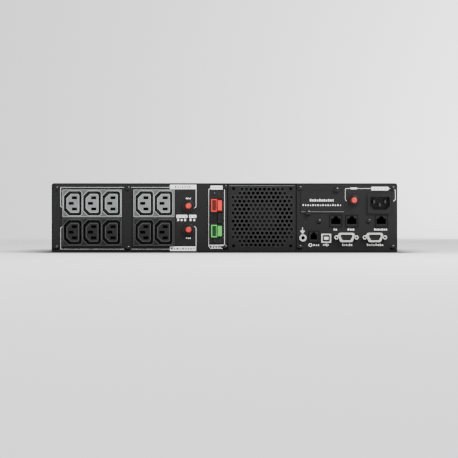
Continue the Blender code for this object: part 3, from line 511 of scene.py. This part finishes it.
def make_printing():
    """All the white printing, and the dark marks on the white labels."""
    y0, y1 = REAR_Y - PRINT_THICKNESS, REAR_Y + BURIED
    slabs("rear_printed_frames", make_frames(), y0, y1, white_ink)
    slabs("rear_printed_marks", make_marks(), y0, y1, white_ink)
    slabs("rear_printed_signs", make_signs(), y0, y1, white_ink)
    cover = box_mm("expansion_cover")[0].y
    lines = bars(107.0, 136.5, 65.5, 2.9, (2.2, 2.0, 2.2, 2.0, 2.2, 1.9, 2.0, 2.0, 1.9, 2.3, 1.2))
    widths = (1.7, 1.5, 1.6, 1.4, 1.8, 1.5, 1.9, 1.6, 1.6, 1.7, 1.4, 1.5, 1.7, 1.6, 1.8, 1.4)
    lines += bars(97.9, 146.0, 59.4, 2.0, widths)
    slabs("cover_printed_marks", lines, cover - PRINT_THICKNESS, cover + BURIED, white_ink)
    dark = bars(-62.0, -42.5, 82.2, 2.1, (2.2, 2.0, 1.2, 2.4, 1.6, 1.8, 2.0))
    dark += bars(-66.8, -37.2, 4.9, 2.2, (2.6, 2.2, 3.0, 2.0, 2.6, 2.4, 2.0, 2.8, 1.8))
    dark += bars(-14.4, -5.2, 81.4, 1.1, (1.4, 1.2, 1.2, 1.4))
    dark += bars(187.0, 202.6, 80.1, 1.4, (1.7, 2.4, 1.6, 2.0))
    dark += bars(-58.4, -48.2, 45.3, 1.9, (1.0, 1.0, 1.0)) + bars(-42.6, -36.8, 45.3, 1.9, (1.0, 1.0))
    slabs("rear_label_lettering_marks", dark, y0 - 0.05, y0 + 0.01, label_ink)
    port_bars = bars(-16.2, -4.0, 6.9, 1.5, (2.2, 2.6, 2.6, 2.2))
    slabs("battery_port_marks", port_bars, y0, y1, white_ink)


# ---- screws --------------------------------------------------------------------------------------


SCREW_RISE = 0.24  # how high the head's cone stands above its rim, as a share of its radius


def screw_mesh(name, radius, height, material):
    """A cross-recess head with a sloped band, facing -Y, standing on y = 0."""
    bm = bmesh.new()
    dome = [(0.0, -0.3), (radius, -0.3), (radius, height * 0.4), (radius * 0.94, height * 0.5)]
    dome.append((radius * 0.5, height * 0.5 + radius * 0.23))
    dome.append((radius * 0.44, height * 0.5 + radius * SCREW_RISE))
    lathe(bm, [*dome, (0.0, height * 0.5 + radius * SCREW_RISE)])
    head = bpy.data.meshes.new(name)
    bm.to_mesh(head)
    bm.free()
    bm = bmesh.new()
    arm, width = radius * 0.58, radius * 0.17
    cross = [(width, width), (width, arm), (-width, arm), (-width, width), (-arm, width), (-arm, -width)]
    cross += [(-width, -width), (-width, -arm), (width, -arm), (width, -width), (arm, -width), (arm, width)]
    raise_outline(bm, cross, -height - 1, -height * 0.35)
    tool = bpy.data.meshes.new("cross")
    bm.to_mesh(tool)
    bm.free()
    mesh = cut_mesh(head, tool)
    mesh.name = name
    mesh.materials.clear()
    mesh.materials.append(material)
    return mesh


def add_screw(name, head, material, x, y, z):
    return piece_from_mesh(name, head, material, smooth=True, location=(x * MM, y * MM, z * MM))


PANEL_SCREWS = [(-210.8, 80.4), (-210.8, 6.4), (-121.2, 80.2), (-121.2, 5.6), (0.6, 82.0), (0.6, 6.6)]
PANEL_SCREWS += [(94.2, 80.6), (94.2, 6.8), (210.6, 80.2), (210.6, 6.8), (118.3, 39.0), (180.5, 39.2)]
PORT_SCREWS = ((-13.1, 73.4), (-13.1, 14.0))
PORT_PILOT_HOLES = ((-6.4, 73.2), (-6.4, 14.4))
FAN_SCREW_REACH = 35.75


def make_screws():
    panel = screw_mesh("panel_screw_head", 3.0, 1.6, black_metal)
    for i, (x, z) in enumerate(PANEL_SCREWS):
        add_screw(f"panel_screw_{i + 1}", panel, black_metal, x, REAR_Y, z)
    fan_screw = screw_mesh("fan_screw_head", 1.9, 0.4, dark_steel_and_contact_shade)
    fan = middle_mm("fan_frame")
    for i, (side, row) in enumerate(((-1, -1), (1, -1), (-1, 1), (1, 1))):
        x, z = fan.x + side * FAN_SCREW_REACH, fan.z + row * FAN_SCREW_REACH
        add_screw(f"fan_screw_{i + 1}", fan_screw, dark_steel_and_contact_shade, x, GRILLE_Y, z)
    for side in ("left", "right"):
        node = f"expansion_screw_{side}"
        low, high, middle = *box_mm(node), middle_mm(node)
        radius = (high.x - low.x) / 2
        rise = 0.8 + radius * SCREW_RISE
        head = screw_mesh("expansion_screw_head", radius, 1.6, black_metal)
        cap = add_screw(f"expansion_head_{side}", head, black_metal, middle.x, low.y + rise, middle.z)
        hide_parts(node)
    port_screw = screw_mesh("port_screw_head", 1.7, 0.8, black_metal)
    plate = box_mm("battery_port_plate")[0].y
    for i, (x, z) in enumerate(PORT_SCREWS):
        add_screw(f"port_screw_{i + 1}", port_screw, black_metal, x, plate, z)
    # Painted shade: dark discs where the plate has plain holes.
    holes = [circle(1.0, x, z, 16) for x, z in PORT_PILOT_HOLES]
    slabs("port_hole_shades", holes, plate - 0.03, plate + BURIED, painted_shade_plastic)


# ---- mains outlets -------------------------------------------------------------------------------

OUTLET_PITCH = 24.1
GROOVE = (22.2, 30.4, 6.2, 3.2)
INSERT = (16.0, 23.6, 5.4, 2.0)
SLOT_SPOTS = ((2.0, 7.0), (2.0, -7.0), (-2.0, 0.0))
# The black border round each outlet slot, and the slot left open in it, in millimetres: a painted shadow at
# the slot's mouth.
SLOT_SHADE, SLOT_SHADE_HOLE = (6.3, 3.5), (4.9, 2.2)


def make_outlet_rims(colour, count, rim):
    """Rims round a gang, its ways and its cores in a lighter copy of the gang's plastic, a painted highlight;
    a painted shadow border round each slot; and the slots' contacts, coloured black as painted shade.
    """
    low, high = box_mm(f"outlet_frame_{colour}_{count}")
    x, z, face = (low.x + high.x) / 2, (low.z + high.z) / 2, low.y
    offsets = [(i - (count - 1) / 2) * OUTLET_PITCH for i in range(count)]
    width, height = high.x - low.x, high.z - low.z
    inner = [(rectangle(width, height, x, z, 0.8), [rectangle(width - 1.3, height - 1.3, x, z, 0.5)])]
    inner += [(connector(*GROOVE, x + o, z, 0.8), [connector(*GROOVE, x + o, z, 0.02)]) for o in offsets]
    bm = bmesh.new()
    for outline, holes in inner:
        raise_outline(bm, outline, face - 0.45, face + BURIED, holes)
    piece(f"outlet_rims_{colour}_{count}", bm, rim)
    core = box_mm(f"outlet_core_{colour}_{count}")[0].y
    if colour == "grey":
        nodes[f"outlet_core_{colour}_{count}"].data.materials[0] = pale_core
    bm = bmesh.new()
    for o in offsets:
        hole = connector(*INSERT, x + o, z, -1.0)
        raise_outline(bm, connector(*INSERT, x + o, z, -0.05), core - 0.35, core + BURIED, [hole])
    piece(f"outlet_core_rims_{colour}_{count}", bm, rim)
    # Painted shadow: a flat black border round each slot.
    slot_shades = []
    for spot_x, spot_z in [(x + o + sx, z + sz) for o in offsets for sx, sz in SLOT_SPOTS]:
        hole = rectangle(*SLOT_SHADE_HOLE, spot_x, spot_z)
        slot_shades.append((rectangle(*SLOT_SHADE, spot_x, spot_z, 0.3), [hole]))
    name = f"outlet_slot_shades_{colour}_{count}"
    slabs(name, slot_shades, core - 0.06, core + BURIED, painted_black_shade)
    bm = bmesh.new()
    for o in offsets:
        for sx, sz in SLOT_SPOTS:
            for side in (-1, 1):
                leaf = rectangle(4.2, 0.45, x + o + sx, z + sz + side * 0.85)
                raise_outline(bm, leaf, core + 9.0, core + 14.0)
    # The contacts are coloured black as painted shade, so the slots read dark.
    piece(f"outlet_contacts_{colour}_{count}", bm, dark_steel_and_contact_shade)


# ---- ports and breakers --------------------------------------------------------------------------


CAP_RADIUS = 3.4
CAP_ROUNDING = 1.1
CAP_SHOULDER = 1.3
COLLAR_BORE = 4.75


def make_breakers():
    """Smooth collars and domed buttons in place of the plain ones, with a dark red ring between: a shaded
    copy of the buttons' red, painted shade.
    """
    for name in ("upper", "lower", "input"):
        middle = middle_mm(f"reset_button_{name}")
        low, high = box_mm(f"reset_button_{name}")
        reach = high.y - low.y
        bm = bmesh.new()
        profile = [(0.0, 0.0), (CAP_RADIUS, 0.0), (CAP_RADIUS, reach - CAP_SHOULDER)]
        for angle in (0.4, 0.8, 1.2, 1.57):
            out = CAP_RADIUS - CAP_ROUNDING + CAP_ROUNDING * math.cos(angle)
            profile.append((out, reach - CAP_SHOULDER + CAP_ROUNDING * math.sin(angle)))
        profile += [(CAP_RADIUS * 0.55, reach - 0.15), (CAP_RADIUS * 0.48, reach - 0.4), (0.0, reach - 0.5)]
        lathe(bm, profile, middle.x, middle.z, high.y, -1, 40)
        red = looks["red_plastic"]
        button = piece(f"reset_cap_{name}", bm, red, f"{name}_reset", smooth=True)
        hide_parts(f"reset_button_{name}")
        collar = box_mm(f"breaker_body_{name}")[0].y
        outer = 6.7 if name == "input" else 7.6
        bm = bmesh.new()
        nut = [(COLLAR_BORE, 0.0), (outer, 0.0), (outer, 0.35)]
        nut += [(outer - 0.9, 0.75), (5.6, 0.75), (COLLAR_BORE, 0.1)]
        lathe(bm, nut, middle.x, middle.z, collar + 0.2, -1, 48, ring=True)
        piece(f"breaker_nut_{name}", bm, looks["black_plastic"], smooth=True)
        # Painted shade round each button: a dark red ring.
        bm = bmesh.new()
        inner = CAP_RADIUS + 0.2
        skirt = [(inner, -0.6), (4.7, -0.6), (4.7, 0.3), (CAP_RADIUS + 0.6, 0.7), (inner, 0.7)]
        lathe(bm, skirt, middle.x, middle.z, collar - 0.2, -1, 40, ring=True)
        piece(f"breaker_skirt_{name}", bm, shaded_skirt_red, smooth=True)


def make_battery_poles():
    """Each hollow's contact, in darkened brass as painted shade; a darker copy of the pole's colour inside
    the hollow, painted shade; a painted shadow strip on the gap beside it; and the tongue's ribs.
    """
    for colour, look in (("red", "red_plastic"), ("black", "black_plastic"), ("green", "green_plastic")):
        low, high = box_mm(f"battery_pole_{colour}")
        z, face = (low.z + high.z) / 2, low.y
        bm = bmesh.new()
        raise_outline(bm, span(low.x + 2.3, low.x + 5.2, z - 4.8, z - 3.6), face + 9.0, face + 17)
        piece(f"pole_contact_{colour}", bm, shaded_brass, bevel=0.2)
        # Inside the hollow, a darker copy of the red or green, or black for the black pole, stands for the
        # shade there.
        hollow_shade = {"red": shaded_hollow_red, "green": shaded_hollow_green}.get(colour, looks["black_plastic"])
        hollow = span(low.x + 0.9, low.x + 6.6, z - 6.6, z + 6.6)
        slabs(f"pole_inside_shade_{colour}", [hollow], face + 3.6, face + 4.0, hollow_shade)
        # Painted shadow on the gap between the hollow and the tongue.
        gap_shadow_outline = span(low.x + 6.9, low.x + 8.0, z - 6.4, z + 6.4)
        slabs(f"pole_gap_shade_{colour}", [gap_shadow_outline], face - 0.1, face + BURIED, painted_black_shade)
        grooves = [span(high.x - back, high.x - back + 0.5, z - 5.0, z + 5.0) for back in (4.4, 1.9)]
        slabs(f"pole_ribs_{colour}", grooves, face - 0.3, face + BURIED, looks[look])


INLET_MIDDLE = (194.5, 61.7)
INLET_MOUTH = (16.0, 24.3, 4.4, 1.6)
CONTACT_PITCH = 1.02
PIN_PITCH = 2.77


def make_inlet():
    """The raised lip round the inlet's mouth, and a darker copy of the nickel on its pins, painted shade."""
    for pin in ("line", "neutral", "earth"):
        nodes[f"inlet_pin_{pin}"].data.materials[0] = shaded_nickel
    x, z = INLET_MIDDLE
    low, _ = box_mm("power_inlet")
    outer, inner = (
        [(-pz + x, px + z) for px, pz in connector(*INLET_MOUTH, grow=grow)] for grow in (1.3, 0.03)
    )
    bm = bmesh.new()
    raise_outline(bm, outer, low.y - 0.5, low.y + BURIED, [inner])
    piece("inlet_lip", bm, looks["black_plastic"])


def make_jack_contacts():
    """Each modular jack's contacts, in darkened brass as painted shade, and rim, and a black plate inside,
    painted shade that makes its opening read dark.
    """
    for name, count, drop in (
        ("network_jack_in", 8, 7.3),
        ("network_jack_out", 8, 7.3),
        ("sensor_jack", 8, 7.3),
        ("shutdown_jack", 4, 6.4),
    ):
        low, high = box_mm(name)
        # Painted shade: a black plate inside the opening.
        back = [span(low.x + 1.2, high.x - 1.2, low.z + 1.2, high.z - 1.2)]
        slabs(f"{name}_shade_plate", back, low.y + 5.0, low.y + 5.3, painted_black_shade)
        x, top = (low.x + high.x) / 2, high.z
        bm = bmesh.new()
        for i in range(count):
            at = x + (i - (count - 1) / 2) * CONTACT_PITCH
            strip = span(at - 0.22, at + 0.22, top - drop - 4.4, top - drop - 4.0)
            raise_outline(bm, strip, low.y + 3, low.y + 11)
        piece(f"{name}_contacts", bm, shaded_brass)
        hole = span(low.x + 0.7, high.x - 0.7, low.z + 0.7, high.z - 0.7, 0.3)
        rim = [(span(low.x, high.x, low.z, high.z, 0.4), [hole])]
        slabs(f"{name}_rim", rim, low.y - 0.25, low.y + BURIED, jack_black)


def make_data_ports():
    """The square port's white tongue, and the D ports' pins or sockets and hexagonal jack posts."""
    low, _ = box_mm("usb_port")
    middle = middle_mm("usb_port")
    bm = bmesh.new()
    raise_outline(bm, rectangle(5.2, 3.4, middle.x, middle.z, 0.4), low.y - 0.15, low.y + 9)
    piece("usb_tongue_cap", bm, white_plastic, bevel=0.2)
    # Painted shade: a dark slab round the tongue, in the port's hollow.
    hollow_shade = (rectangle(9.4, 8.6, middle.x, middle.z, 1.2, 1), [rectangle(5.6, 3.8, middle.x, middle.z)])
    slabs("usb_port_shade", [hollow_shade], low.y - 0.05, low.y + 1.6, painted_shade_plastic)
    signs = [(sx, sz) for sx in (-1, 1) for sz in (-1, 1)]
    contacts = [rectangle(0.9, 0.25, middle.x + sx * 1.6, middle.z + sz * 1.93) for sx, sz in signs]
    slabs("usb_contacts", contacts, low.y + 1.5, low.y + 8, gold)
    for name, sockets in (("serial", True), ("relay", False)):
        insert, shell = middle_mm(f"{name}_port_insert"), box_mm(f"{name}_port_shell")
        face = box_mm(f"{name}_port_insert")[0].y
        spots = [(insert.x + (i - 2) * PIN_PITCH, insert.z + 1.3) for i in range(5)]
        spots += [(insert.x + (i - 1.5) * PIN_PITCH, insert.z - 1.45) for i in range(4)]
        bm = bmesh.new()
        for x, z in spots:
            if sockets:
                lathe(bm, [(0.4, -0.4), (0.8, -0.4), (0.8, 0.12), (0.4, 0.12)], x, z, face, -1, 14, ring=True)
            else:
                lathe(bm, [(0.5, -0.4), (0.5, 0.25), (0.0, 0.7)], x, z, face, -1, 14)
        piece(f"{name}_port_contacts", bm, black_metal, smooth=True)
        bm = bmesh.new()
        for side in (-1, 1):
            post_x, post_z = insert.x + side * 12.6, insert.z
            hexagon = circle(2.9, post_x, post_z, 6)
            raise_outline(bm, hexagon, REAR_Y - 4.6, REAR_Y - 0.3, [circle(1.35, post_x, post_z, 18)])
        piece(f"{name}_jack_posts", bm, looks["nickel"], bevel=0.25)
        outer = shell[0].y
        bm = bmesh.new()
        slant = 0.9
        loops = []
        for grow in (0.0, -0.85):
            points = []
            for sx, sz, start in ((1, 1, 0), (-1, 1, 90), (-1, -1, 180), (1, -1, 270)):
                half_w, half_h, r = 8.7 + grow - 2.2, 4.5 + grow - 2.2, 2.2
                corner_x = insert.x + sx * (half_w + slant * (sz - 1))
                points += arc(corner_x, insert.z + sz * half_h, r, start, start + 90, 5)
            loops.append(points)
        raise_outline(bm, loops[0], outer - 0.1, outer + 0.05, [loops[1]])
        piece(f"{name}_rolled_edge", bm, looks["nickel"])


def make_ground_ring():
    middle, low = middle_mm("ground_stud"), box_mm("ground_stud")[0]
    bm = bmesh.new()
    profile = [(2.3, 0.0), (4.65, 0.0), (4.65, 0.5), (4.3, 0.9), (2.7, 0.9), (2.3, 0.5)]
    lathe(bm, profile, middle.x, middle.z, low.y + 0.1, -1, 48, ring=True)
    piece("ground_ring", bm, looks["nickel"], smooth=True)
    # Painted shade: a black disc in the ring's hole.
    bore = circle(2.32, middle.x, middle.z, 24)
    slabs("ground_hole_shade", [bore], low.y - 0.12, low.y + 0.05, painted_black_shade)


VENT_PITCH = (5.62, 5.0)
VENT_RADIUS = 2.35
VENT_ROWS = 15
VENT_COUNTS = {7: 10, 6: 11}  # holes in the rows that far from the middle one


def make_grille_details():
    """A pale ring round each six-sided hole, a painted highlight of the holes' edges, and a dark sheet behind
    the fan, painted shade that hides the inside.
    """
    fan = middle_mm("fan_frame")
    bm = bmesh.new()
    middle_row = VENT_ROWS // 2
    for row in range(-middle_row, middle_row + 1):
        count = VENT_COUNTS.get(abs(row), 14 if row % 2 else 13)
        for i in range(count):
            x, z = fan.x + (i - (count - 1) / 2) * VENT_PITCH[0], fan.z + row * VENT_PITCH[1]
            outer, inner = (arc(x, z, VENT_RADIUS + grow, 30, 330, 5) for grow in (0.38, 0.01))
            raise_outline(bm, outer, GRILLE_Y - 0.07, GRILLE_Y + BURIED, [inner])
    # Painted highlight round each hole.
    piece("grille_hole_highlights", bm, painted_hole_highlight)
    # Painted shade: a dark sheet behind the fan where there is only shade.
    back = box_mm("fan_frame")[1].y
    sheet = rectangle(78, 78, fan.x, fan.z, 3.0)
    slabs("fan_shade_sheet", [sheet], back + 0.5, back + 3.0, painted_shade_plastic)


def make_cover_edges():
    """Stand-ins for light and shade: a pale strip on the cover's lower edge, dark ones by cover and inlet."""
    low, high = box_mm("expansion_cover")
    # Painted highlight along the cover's lower edge.
    strips = [span(low.x + 0.4, high.x - 0.4, low.z + 0.1, low.z + 0.75)]
    slabs("cover_edge_highlight", strips, low.y - 0.25, low.y + BURIED, painted_edge_highlight)
    # Painted shadow along the cover's lower and left edges.
    cover_shadow = [
        span(low.x - 0.2, high.x - 0.6, low.z - 1.0, low.z - 0.05),
        span(low.x - 0.95, low.x - 0.05, low.z - 1.0, high.z - 3),
    ]
    slabs("cover_shadow_strips", cover_shadow, REAR_Y - 0.12, REAR_Y + BURIED, painted_shade_plastic)
    # Painted shadow along the inlet's left and lower edges.
    low, high = box_mm("power_inlet")
    shade = [
        span(low.x - 0.9, low.x - 0.05, low.z - 0.9, high.z - 0.5),
        span(low.x - 0.9, high.x - 0.6, low.z - 0.9, low.z - 0.05),
    ]
    slabs("inlet_shadow_strips", shade, REAR_Y - 0.12, REAR_Y + BURIED, painted_shade_plastic)


SIDE_SCREWS = [(y, z) for y in (-205, -60, 110, 195) for z in (14, 74)]
SIDE_SCREW_PROFILE = [(0.0, -0.2), (3.6, -0.2), (3.6, 0.02), (3.3, 0.1)]
SIDE_SCREW_PROFILE += [(1.9, 0.1), (1.6, -0.15), (0.0, -0.15)]


def make_case_trim():
    """A pale strip along the grille's top, a painted highlight, and screws that stand 0.1 mm out of the
    sides.
    """
    low, high = box_mm("fan_grille")
    # Painted highlight along the grille's top edge.
    strip = [span(low.x + 1.5, high.x - 1.5, high.z - 2.0, high.z - 1.5)]
    slabs("grille_top_highlight", strip, GRILLE_Y - 0.25, GRILLE_Y + BURIED, painted_edge_highlight)
    for side, x in (("left", LEFT), ("right", RIGHT)):
        facing = -1 if side == "left" else 1
        for i, (y, z) in enumerate(SIDE_SCREWS):
            bm = bmesh.new()
            lathe(bm, SIDE_SCREW_PROFILE, 0, 0, 0, -1, 24)
            turn = Matrix.Rotation(facing * math.pi / 2, 3, "Z")
            bmesh.ops.rotate(bm, cent=(0, 0, 0), matrix=turn, verts=bm.verts[:])
            bmesh.ops.translate(bm, vec=Vector((x, y, z)) * MM, verts=bm.verts[:])
            piece(f"side_screw_{side}_{i + 1}", bm, black_metal, smooth=True)


# ---- front and inside ----------------------------------------------------------------------------


def make_display():
    """Generic readings behind the display's glass: level bars, a number-free dial and status signs."""
    low, high = box_mm("display_window")
    x, z, face = (low.x + high.x) / 2, (low.z + high.z) / 2, high.y
    lit = [(rectangle(60, 28, x, z, 1.5), [rectangle(59.2, 27.2, x, z, 1.2)])]
    for side in (-1, 1):
        for i in range(5):
            width = 4 + i * 1.1
            lit.append(rectangle(width, 2.2, x + side * 22, z - 8 + i * 4.0, 0.3))
    lit.append((circle(8.5, x, z), [circle(7.9, x, z)]))
    lit.append(stroke([(x - 3.2, z + 1.0), (x + 1.0, z + 1.0), (x - 1.0, z - 1.0), (x + 3.2, z - 1.0)], 0.8))
    slabs("display_readings", lit, face - BURIED, face + 0.05, screen_glow)
    width, height = high.x - low.x, high.z - low.z
    bezel = (rectangle(width + 5, height + 5, x, z, 2.0), [rectangle(width, height, x, z, 0.8)])
    slabs("display_surround", [bezel], FRONT_Y, FRONT_Y + 0.6, dark_trim_and_rim_highlight, bevel=0.2)


def make_front_details():
    """Signs on the keys, the power key's surround, three status lamps and a line along the lower edge."""
    low, high = box_mm("power_button")
    x, z, face = (low.x + high.x) / 2, (low.z + high.z) / 2, high.y
    ring = arc(x, z, 3.2, 120, 420, 24)
    sign = [stroke(ring, 0.7), stroke([(x, z + 0.6), (x, z + 4.2)], 0.7)]
    slabs("power_sign", sign, face - 0.03, face + 0.03, white_ink, "power_key")
    surround = (circle(10.0, x, z, 48), [circle(7.5, x, z, 48)])
    slabs("power_surround", [surround], FRONT_Y, FRONT_Y + 0.5, dark_trim_and_rim_highlight, bevel=0.2)
    for name, body in (("scroll_button", "scroll_key"), ("select_button", "select_key")):
        low, high = box_mm(name)
        x, z = (low.x + high.x) / 2, (low.z + high.z) / 2
        if name == "scroll_button":
            mark = [(x - 1.6, z + 0.9), (x, z - 1.0), (x + 1.6, z + 0.9)]
        else:
            mark = circle(1.1, x, z, 20)
        slabs(f"{name}_sign", [mark], high.y - BURIED, high.y + 0.04, white_ink, body)
    lamps = [circle(1.1, x, 36.0, 18) for x in (36.0, 31.0, 26.0)]
    slabs("status_lamps", lamps, FRONT_Y, FRONT_Y + 0.25, lamp_glow)
    for name, body in (("battery_cover", "drawer_cover"), ("front_bezel", "case")):
        low, high = box_mm(name)
        strip = span(low.x + 6, high.x - 6, 6.6, 7.8, 0.5)
        slabs(f"{name}_lower_line", [strip], FRONT_Y, FRONT_Y + 0.35, dark_trim_and_rim_highlight, body)


def make_battery_details():
    """A plain, blank label on top of each battery."""
    for i in range(1, 5):
        low, high = box_mm(f"battery_{i}")
        x, y = (low.x + high.x) / 2, (low.y + high.y) / 2
        bm = bmesh.new()
        bmesh.ops.create_grid(bm, x_segments=2, y_segments=2, size=0.5)
        bmesh.ops.scale(bm, vec=(60 * MM, 90 * MM, 1), verts=bm.verts[:])
        solid = bmesh.ops.extrude_face_region(bm, geom=bm.faces[:])["geom"]
        bmesh.ops.translate(bm, vec=(0, 0, 0.15 * MM), verts=only_verts(solid))
        bmesh.ops.translate(bm, vec=Vector((x, y, high.z)) * MM, verts=bm.verts[:])
        bmesh.ops.recalc_face_normals(bm, faces=bm.faces[:])
        piece(f"battery_label_{i}", bm, battery_label, "battery_drawer")


# ---- studio and camera ---------------------------------------------------------------------------


SHADOW_REACH = 0.027  # metres from the footprint to where the painted shadow is half gone
SHADOW_WEIGHT = {"X": 1.0, "Y": 0.45}
PAPER, PAPER_SHADE = (0.78, 0.78, 0.785), (0.004, 0.004, 0.004)
FLOOR_HALF, FLAT_END, CURVE, BACKDROP_HEIGHT = 7.0, 4.5, 2.5, 6.0


def shaded_paper():
    """Pale paper, painted darker beside the unit's footprint as a contact shadow at rest."""
    n = Nodes("studio_paper")
    split = n.tree.nodes.new("ShaderNodeSeparateXYZ")
    n.link(n.place, split.inputs["Vector"])

    def calculate(operation, first, second):
        node = n.tree.nodes.new("ShaderNodeMath")
        node.operation = operation
        for socket, value in zip(node.inputs, (first, second)):
            if isinstance(value, float):
                socket.default_value = value
            else:
                n.link(value, socket)
        return node.outputs[0]

    outside = []
    for axis, half in (("X", RIGHT * MM), ("Y", FRONT_Y * MM)):
        beyond = calculate("SUBTRACT", calculate("ABSOLUTE", split.outputs[axis], 0.0), half)
        outside.append(calculate("MULTIPLY", calculate("MAXIMUM", beyond, 0.0), SHADOW_WEIGHT[axis]))
    distance = calculate("ADD", outside[0], outside[1])
    shade = calculate("POWER", 0.5, calculate("POWER", calculate("DIVIDE", distance, SHADOW_REACH), 1.5))
    n.link(n.mix(shade, PAPER, PAPER_SHADE), n.shader.inputs["Base Color"])
    n.link(n.spread(n.noise(400.0), 0.85, 0.95), n.shader.inputs["Roughness"])
    return n.material


def make_studio():
    """A pale floor that curves up into a backdrop."""
    floor = shaded_paper()
    bm = bmesh.new()
    profile = [(-FLOOR_HALF, 0.0), (FLAT_END, 0.0)]
    angles = [math.pi / 2 * i / 24 for i in range(1, 25)]
    profile += [(FLAT_END + CURVE * math.sin(a), CURVE - CURVE * math.cos(a)) for a in angles]
    profile.append((FLAT_END + CURVE, BACKDROP_HEIGHT))
    rows = [[bm.verts.new((x, y, z)) for y, z in profile] for x in (-FLOOR_HALF, FLOOR_HALF)]
    for i in range(len(profile) - 1):
        bm.faces.new((rows[0][i], rows[1][i], rows[1][i + 1], rows[0][i + 1]))
    mesh = bpy.data.meshes.new("studio_floor")
    bm.to_mesh(mesh)
    bm.free()
    mesh.materials.append(floor)
    mesh.shade_smooth()
    obj = bpy.data.objects.new("studio_floor", mesh)
    bpy.context.scene.collection.objects.link(obj)


def make_lights():
    world = bpy.data.worlds.new("studio")
    world.use_nodes = True
    background = world.node_tree.nodes["Background"]
    background.inputs["Color"].default_value = (1.0, 1.0, 1.0, 1.0)
    background.inputs["Strength"].default_value = 1.3
    bpy.context.scene.world = world
    for name, place, target, size, power in (  # metres and watts
        ("key", (1.4, -2.0, 2.4), (0.1, -0.2, 0.05), 1.0, 95.0),
        ("backdrop_glow", (2.0, 4.8, 1.4), (1.2, 6.0, 0.3), 1.2, 130.0),
        ("floor_glow", (0.9, -0.8, 0.9), (0.5, -1.7, 0.0), 1.0, 30.0),
    ):
        light = bpy.data.lights.new(name, "AREA")
        light.size = size
        light.energy = power
        obj = bpy.data.objects.new(name, light)
        obj.location = place
        obj.rotation_euler = (Vector(target) - Vector(place)).to_track_quat("-Z", "Y").to_euler()
        bpy.context.scene.collection.objects.link(obj)


CAMERA_DISTANCE, CAMERA_SIDE, CAMERA_HEIGHT = 3.0, 0.0057, 0.0295
FRAME_WIDTH = 0.5734  # what the frame takes in at the rear panel, in metres


def make_camera():
    camera = bpy.data.cameras.new("camera")
    camera.sensor_width = 36.0
    camera.lens = camera.sensor_width * CAMERA_DISTANCE / FRAME_WIDTH
    camera.clip_end = 50.0
    obj = bpy.data.objects.new("camera", camera)
    obj.location = (CAMERA_SIDE, REAR_Y * MM - CAMERA_DISTANCE, CAMERA_HEIGHT)
    obj.rotation_euler = (math.pi / 2, 0, 0)
    bpy.context.scene.collection.objects.link(obj)
    bpy.context.scene.camera = obj


make_camera()
make_studio()
make_lights()
make_printing()
make_screws()
# Each gang's rims get a lighter copy of its plastic, a painted highlight.
for gang_colour, gang_rim in (("grey", painted_rim_highlight_grey), ("black", dark_trim_and_rim_highlight)):
    for gang_count in (2, 3):
        make_outlet_rims(gang_colour, gang_count, gang_rim)
make_breakers()
make_battery_poles()
make_inlet()
make_jack_contacts()
make_data_ports()
make_ground_ring()
make_grille_details()
make_cover_edges()
make_case_trim()
make_display()
make_front_details()
make_battery_details()

bpy.context.view_layer.update()
